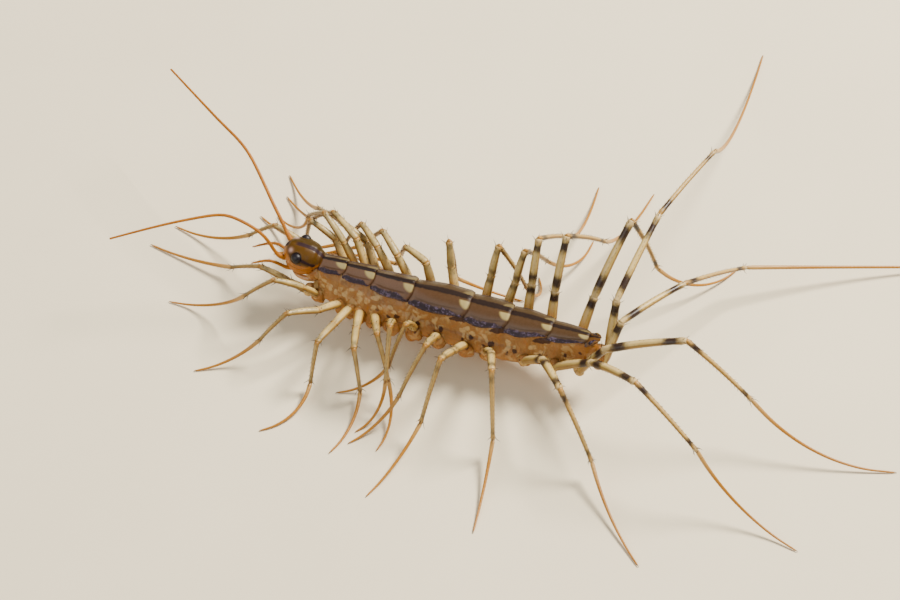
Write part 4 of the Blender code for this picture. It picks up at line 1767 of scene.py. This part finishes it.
    def model_coxa(self, root: np.ndarray, toward: np.ndarray) -> Item:
        """Model the coxa in the flank and the trochanter that the prefemur turns on.

        Args:
            root: Where the leg leaves its coxa.
            toward: The way of its prefemur.

        Returns:
            The mesh object.
        """
        swing = root[0] - self.form.leg_root_x[self.number - 1]
        inner = root + np.array([-0.6 * swing, -self.side.value * 1.0, 0.45])
        if self.last:
            inner = np.array([root[0] - 1.3, self.side.value * 0.35, 4.7])
        path = smooth_path([inner, blend(inner, root, 0.6), root, root + toward * 0.3], 0.06)
        radii = sized(path, self.COXA) * (0.85 if self.last else 1.0)
        coxa, along = self.bench.tube(f"{self.name}_coxa", path, radii, 5)
        self.bench.note(coxa, band=self.band_strength * 0.8 * bump(along, 0.78, 0.05), warm=0.45)
        return coxa

    def build(self, material: bpy.types.Material) -> None:
        """Model the whole leg and dress it.

        Args:
            material: The finish of the legs.
        """
        joints = self.joints()
        pieces = [self.model_coxa(joints[0], unit(joints[1] - joints[0]))]
        yaws = (self.pose.yaw, self.pose.femur_yaw, self.pose.shin_yaw)
        for kind, start, end, yaw in zip(Podomere, joints, joints[1:], yaws):
            pieces += self.model_podomere(kind, start, end, yaw)
        pieces += self.model_tarsus(self.tarsus_points(joints[-1]))
        self.bench.finish(self.bench.join(f"{self.name}_horn", pieces), material, "leg", self.name)


# Head

@dataclass(frozen=True)
class FeelerShape:
    """The make of a feeler or a palp.

    Attributes:
        spread: How many points its bends are rounded over.
        ring: The length of one ring.
        profile: Shares along it with its radius there.
        hair_step: How many points lie between its hairs.
        hair_size: How long its hairs are, beside those of a feeler.
    """

    spread: int
    ring: float
    profile: Table
    hair_step: int
    hair_size: float


@dataclass
class Head:
    """The head capsule, eyes, fangs, feelers and palps."""

    bench: Bench
    effects: SharedEffects
    rng: np.random.Generator
    centre: tuple[float, float, float] = (1.87, 0.0, 6.35)
    size: tuple[float, float, float] = (1.87, 1.5, 1.25)
    eye: tuple[float, float, float] = Stance.EYE_CENTRE
    eye_radius: float = 0.45

    FEELER_HAIR = Hair(0.85, 0.6, 0.8, 0.011)
    FEELER_SPACING = 0.045
    ANTENNA = FeelerShape(
        16, 0.2, ((0, 0.2), (0.02, 0.24), (0.05, 0.22), (0.07, 0.165), (0.5, 0.135), (1, 0.09)), 4, 1.0)
    PALP = FeelerShape(5, 0.9, ((0, 0.2), (0.3, 0.15), (0.8, 0.11), (1, 0.045)), 2, 2.0)
    MARKS = (
        ((0.1, -0.2, 6.75), (0.42, 0.12, 7.15), 0.24, 1.0),
        ((2.05, 1.3, 6.98), (3.3, 1.08, 6.42), 0.18, 1.0),
        ((1.1, 1.38, 6.6), (2.1, 1.46, 6.5), 0.12, 0.6),
    )
    FEELERS = {
        "antenna_left": ((0.45, -0.85, 6.1), (-0.25, -1.15, 6.3), (-0.6, -1.1, 7.2), (-1.4, -0.9, 8.3),
                         (-2.6, -0.9, 9.2), (-4.3, -0.9, 9.7), (-5.6, -1.1, 9.9), (-9.7, -3.4, 9.4),
                         (-14.2, -6.1, 8.4)),
        "antenna_right": ((0.5, 0.85, 6.2), (-0.15, 1.15, 6.4), (-0.8, 1.8, 7.2), (-2.0, 2.7, 8.0), (-3.5, 4.1, 8.8),
                          (-6.4, 6.7, 9.9), (-10.0, 8.7, 10.3), (-16.4, 13.0, 9.8)),
        "palp_left": ((1.1, -0.6, 4.7), (0.35, -0.75, 4.65), (-0.5, -0.9, 5.1), (-1.4, -1.0, 5.1), (-2.8, -1.2, 4.3)),
        "palp_right": ((1.1, 0.6, 4.7), (0.35, 0.75, 4.65), (-0.5, 0.9, 5.2), (-1.6, 0.9, 5.3), (-3.4, 0.5, 4.4)),
    }
    JAW = ((2.9, 0.65, 5.5), (2.0, 0.85, 5.3), (1.1, 0.7, 5.2), (0.45, 0.35, 5.15))
    JAW_PROFILE = ((0, 0.3), (0.15, 0.5), (0.5, 0.55), (0.85, 0.36), (1, 0.12))
    LOWER_LIP = ((1.5, 0.45, 4.95), (0.8, 0.5, 4.85), (0.2, 0.3, 4.9))
    LOWER_LIP_PROFILE = ((0, 0.2), (0.3, 0.3), (0.8, 0.22), (1, 0.06))
    FANG = ((3.4, 0.5, 4.0), (2.9, 0.55, 3.95), (2.1, 0.72, 3.9), (1.3, 0.62, 3.9), (0.75, 0.3, 3.95))
    FANG_PROFILE = ((0.0, 0.2), (0.1, 0.3), (0.35, 0.3), (0.42, 0.26), (0.7, 0.2), (1.0, 0.03))
    # Where the painted pinkish highlight sits on the upper front of the head.
    BLUSH = (0.9, 0.72, 7.27)
    LIP_CENTRE = (0.55, 0.0, 5.72)
    LIP_SIZE = (0.62, 0.75, 0.6)

    def build(self) -> None:
        """Model and dress the head and all that it carries."""
        bench = self.bench
        capsule = bench.join("head_capsule", [self.model_capsule()] + self.model_mouthparts())
        bench.finish(capsule, HeadFinish(self.effects).build(), "shell", "head")
        eye_finish = EyeFinish(self.effects).build()
        fang_finish = FangFinish(self.effects).build()
        for side in Side:
            lens = bench.ball(f"eye_{side.word}_lens", 48, 36, self.oval(
                mirrored(self.eye, side), (1.12 * self.eye_radius, self.eye_radius, self.eye_radius)))
            bench.finish(lens, eye_finish, "eye", f"eye_{side.word}")
            fang = self.mirrored_tube(f"fang_{side.word}", side, self.FANG, self.FANG_PROFILE, 0.06, 5)
            bench.finish(fang, fang_finish, "fang", f"forcipule_{side.word}")
        horn = FeelerFinish(self.effects).build()
        for name, points in self.FEELERS.items():
            shape = self.ANTENNA if name.startswith("antenna") else self.PALP
            bench.finish(self.model_feeler(name, points, shape), horn, "feeler", name)

    @staticmethod
    def oval(centre: Point, size: Point) -> Placer:
        """Return the skin of a plain oval of the given half sizes, for a ball."""
        return lambda share, angle: centre + round_way(share, angle) * size

    def mirrored_tube(self, name: str, side: Side, points: Sequence[Point], profile: Table, spacing: float,
                      roundness: int) -> Item:
        """Model a tube whose points are given for the animal's right side.

        Args:
            name: The piece's name.
            side: The side that it is on.
            points: The points of its middle line, on the right side.
            profile: Shares along it with its radius there.
            spacing: The distance between its rings of vertices.
            roundness: The bevel resolution.

        Returns:
            The mesh object.
        """
        path = smooth_path([mirrored(point, side) for point in points], spacing)
        return self.bench.tube(name, path, sized(path, profile), roundness)[0]

    def shield_place(self, share: float, angle: float) -> Point:
        """Shape the head shield, with its brow, furrow and eye rims.

        Args:
            share: The share from face to neck.
            angle: The angle round it.

        Returns:
            The place.
        """
        point = np.array(self.centre) + round_way(share, angle, 0.82) * self.size
        stand = np.array([0.0, math.cos(angle), math.sin(angle)])
        x, y, _ = point
        roof = max(math.sin(angle), 0.0)
        brow = 0.1 * bump(x, 0.75, 0.5) * roof
        furrow = -0.06 * bump(y, 0.0, 0.16) * roof * ease((x - 0.6) / 0.5)
        nape = -0.12 * bump(x, 3.3, 0.16)
        point = point + stand * (brow + furrow + nape)
        for side in Side:
            reach = float(np.linalg.norm(point - mirrored(self.eye, side)))
            point = point + stand * (0.06 * bump(reach, 0.56, 0.07) - 0.3 * ease((0.5 - reach) / 0.12))
        return point + stand * 0.02 * noise.noise(Vector(point) * 2.6)

    def model_capsule(self) -> Item:
        """Model the domed head shield.

        Returns:
            The shield, with its marks stored as "mark" and its painted pinkish highlight stored as a second value.
        """
        capsule = self.bench.ball("head_shield", 96, 72, self.shield_place)
        points = self.bench.animal_places(capsule)
        marks = [0.45 * bump(points[:, 0], self.centre[0] + 1.72, 0.1)]
        for start, end, size, strength in self.MARKS:
            for side in Side:
                first = mirrored(start, side)
                run = mirrored(end, side) - first
                share = np.clip((points - first) @ run / (run @ run), 0.0, 1.0)
                marks.append(strength * blot(points - np.outer(share, run), first, size))
        # Painted pinkish highlight on the upper front of the head, one each side.
        blush = [blot(points, mirrored(self.BLUSH, side), 0.2) for side in Side]
        self.bench.note(capsule, mark=np.max(marks, axis=0), blush=np.max(blush, axis=0))
        return capsule

    def model_mouthparts(self) -> list[Item]:
        """Model the cheeks, the upper lip and the jaws below the shield.

        Returns:
            The mesh objects.
        """
        parts = []
        for side in Side:
            parts.append(self.mirrored_tube("jaw", side, self.JAW, self.JAW_PROFILE, 0.08, 6))
            parts.append(self.mirrored_tube("lower_lip", side, self.LOWER_LIP, self.LOWER_LIP_PROFILE, 0.06, 5))
        parts.append(self.bench.ball("upper_lip", 40, 28, self.oval(self.LIP_CENTRE, self.LIP_SIZE)))
        return parts

    def model_feeler(self, name: str, points: Sequence[Point], shape: FeelerShape) -> Item:
        """Model a feeler or a palp of many rings, with fine hairs.

        Args:
            name: The name of its node.
            points: The points that it passes.
            shape: Its make.

        Returns:
            The feeler with its hairs.
        """
        path = soften(smooth_path(points, self.FEELER_SPACING), shape.spread)
        rings = max(int(self.FEELER_SPACING * len(path) / shape.ring), 4)
        phase = (np.linspace(0.0, 1.0, len(path)) * rings) % 1.0
        radii = sized(path, shape.profile) * (0.92 + 0.13 * np.sin(phase * math.pi) ** 0.7)
        tube, along = self.bench.tube(f"{name}_tube", path, radii, 4)
        self.bench.note(tube, ring=bump((along * rings) % 1.0, 0.0, 0.22))
        hairs = []
        for k in range(3, len(path) - 2, shape.hair_step):
            ahead = unit(path[k + 1] - path[k])
            wide = np.cross(ahead, UP)
            tall = np.cross(wide, ahead)
            for _ in range(2):
                angle = self.rng.uniform(0, 2 * math.pi)
                out = wide * math.cos(angle) + tall * math.sin(angle)
                length = self.rng.uniform(0.1, 0.2) * shape.hair_size
                hairs.append(self.FEELER_HAIR.grow(path[k], radii[k], out, ahead, length))
        return self.bench.join(f"{name}_horn", [tube, self.bench.bristles(f"{name}_hairs", hairs)])


# Room and camera

@dataclass
class Studio:
    """A plain pale floor, soft light and a camera at the photograph's angle."""

    stance: Stance
    azimuth: float = 21.0
    elevation: float = 52.0
    frame_width: float = 80.17
    target: tuple[float, float, float] = (14.88, 2.218, 3.0)
    lens: float = 180.0
    sensor: float = 36.0
    floor_dark: Rgb = (0.76, 0.675, 0.49)
    floor_pale: Rgb = (0.84, 0.75, 0.55)
    sky: tuple[float, float, float, float] = (1.0, 0.98, 0.95, 1.0)
    sky_strength: float = 0.3

    @property
    def goal(self) -> Vector:
        """Return the point that the camera and the lights look at, in metres."""
        return Vector(self.stance.to_model(np.array(self.target)))

    def axes(self) -> tuple[Vector, Vector, Vector]:
        """Find the camera's ways.

        Returns:
            The way to the camera, the way to the image's right, and the level way away from the camera.
        """
        a = math.radians(self.azimuth)
        e = math.radians(self.elevation)
        away = Vector((-math.sin(a), math.cos(a), 0.0))
        back = Vector((math.sin(a) * math.cos(e), -math.cos(a) * math.cos(e), math.sin(e)))
        return back, Vector((math.cos(a), math.sin(a), 0.0)), away

    def build(self) -> None:
        """Set the floor, the lights, the world and the camera."""
        self.build_floor()
        self.build_lights()
        self.build_camera()

    def build_floor(self) -> None:
        """Lay the floor."""
        Bench.clear_choice()
        bpy.ops.mesh.primitive_plane_add(size=2.0)
        floor = bpy.context.object
        floor.name = "studio_floor"
        c = Canvas("Pale floor")
        cloud = c.noise(c.signal(c.add("ShaderNodeTexCoord"), "Object"), 60.0)
        c.feed_all(c.shader, Base_Color=c.mix(cloud, self.floor_dark, self.floor_pale), Roughness=0.85)
        floor.data.materials.append(c.material)

    def add_light(self, name: str, direction: Vector, distance: float, size: float, power: float, colour: Rgb) -> None:
        """Add one soft light that faces the target.

        Args:
            name: The light's name.
            direction: The way to it from the target.
            distance: How far off it is, in metres.
            size: The length of its sides, in metres.
            power: Its power in watts.
            colour: Its colour.
        """
        Bench.clear_choice()
        bpy.ops.object.light_add(type="AREA")
        light = bpy.context.object
        light.name = name
        light.data.size = size
        light.data.energy = power
        light.data.color = colour
        light.location = self.goal + direction.normalized() * distance
        light.rotation_euler = (self.goal - light.location).to_track_quat("-Z", "Y").to_euler()

    def build_lights(self) -> None:
        """Light the model from the upper right, with a soft fill."""
        _, right, away = self.axes()
        up = Vector(UP)
        self.add_light("key_light", right * 0.75 + away * 0.45 + up * 1.1, 0.45, 0.13, 5.6, (1.0, 0.93, 0.82))
        self.add_light("fill_light", right * -0.8 - away * 0.7 + up * 0.9, 0.5, 0.4, 1.5, (1.0, 0.98, 0.95))
        world = bpy.context.scene.world or bpy.data.worlds.new("World")
        bpy.context.scene.world = world
        world.use_nodes = True
        sky = world.node_tree.nodes["Background"]
        sky.inputs["Color"].default_value = self.sky
        sky.inputs["Strength"].default_value = self.sky_strength

    def build_camera(self) -> None:
        """Set the camera at the photograph's angle and framing."""
        Bench.clear_choice()
        bpy.ops.object.camera_add()
        camera = bpy.context.object
        camera.name = "photo_camera"
        back, right, _ = self.axes()
        turn = Matrix((right, back.cross(right), back)).transposed()
        distance = self.frame_width * MM * self.lens / self.sensor
        camera.matrix_world = Matrix.Translation(self.goal + back * distance) @ turn.to_4x4()
        camera.data.lens = self.lens
        camera.data.sensor_width = self.sensor
        camera.data.clip_start = 0.01
        camera.data.clip_end = 10.0
        bpy.context.scene.camera = camera


def main() -> None:
    """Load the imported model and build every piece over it."""
    logging.basicConfig(level=logging.INFO, format="%(name)s: %(message)s")
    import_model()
    stance = Stance.from_frame()
    bench = Bench(stance)
    effects = SharedEffects()
    Studio(stance).build()
    Trunk(bench, effects).build()
    Head(bench, effects, np.random.default_rng(HEAD_SEED)).build()
    horn = LegFinish(effects).build()
    for side, poses in POSES.items():
        for number, pose in enumerate(poses, start=1):
            rng = np.random.default_rng(LEG_SEED_STEP * number + side.value)
            Leg(bench, TrunkForm(), number, side, pose, rng).build(horn)


if __name__ == "__main__":
    main()
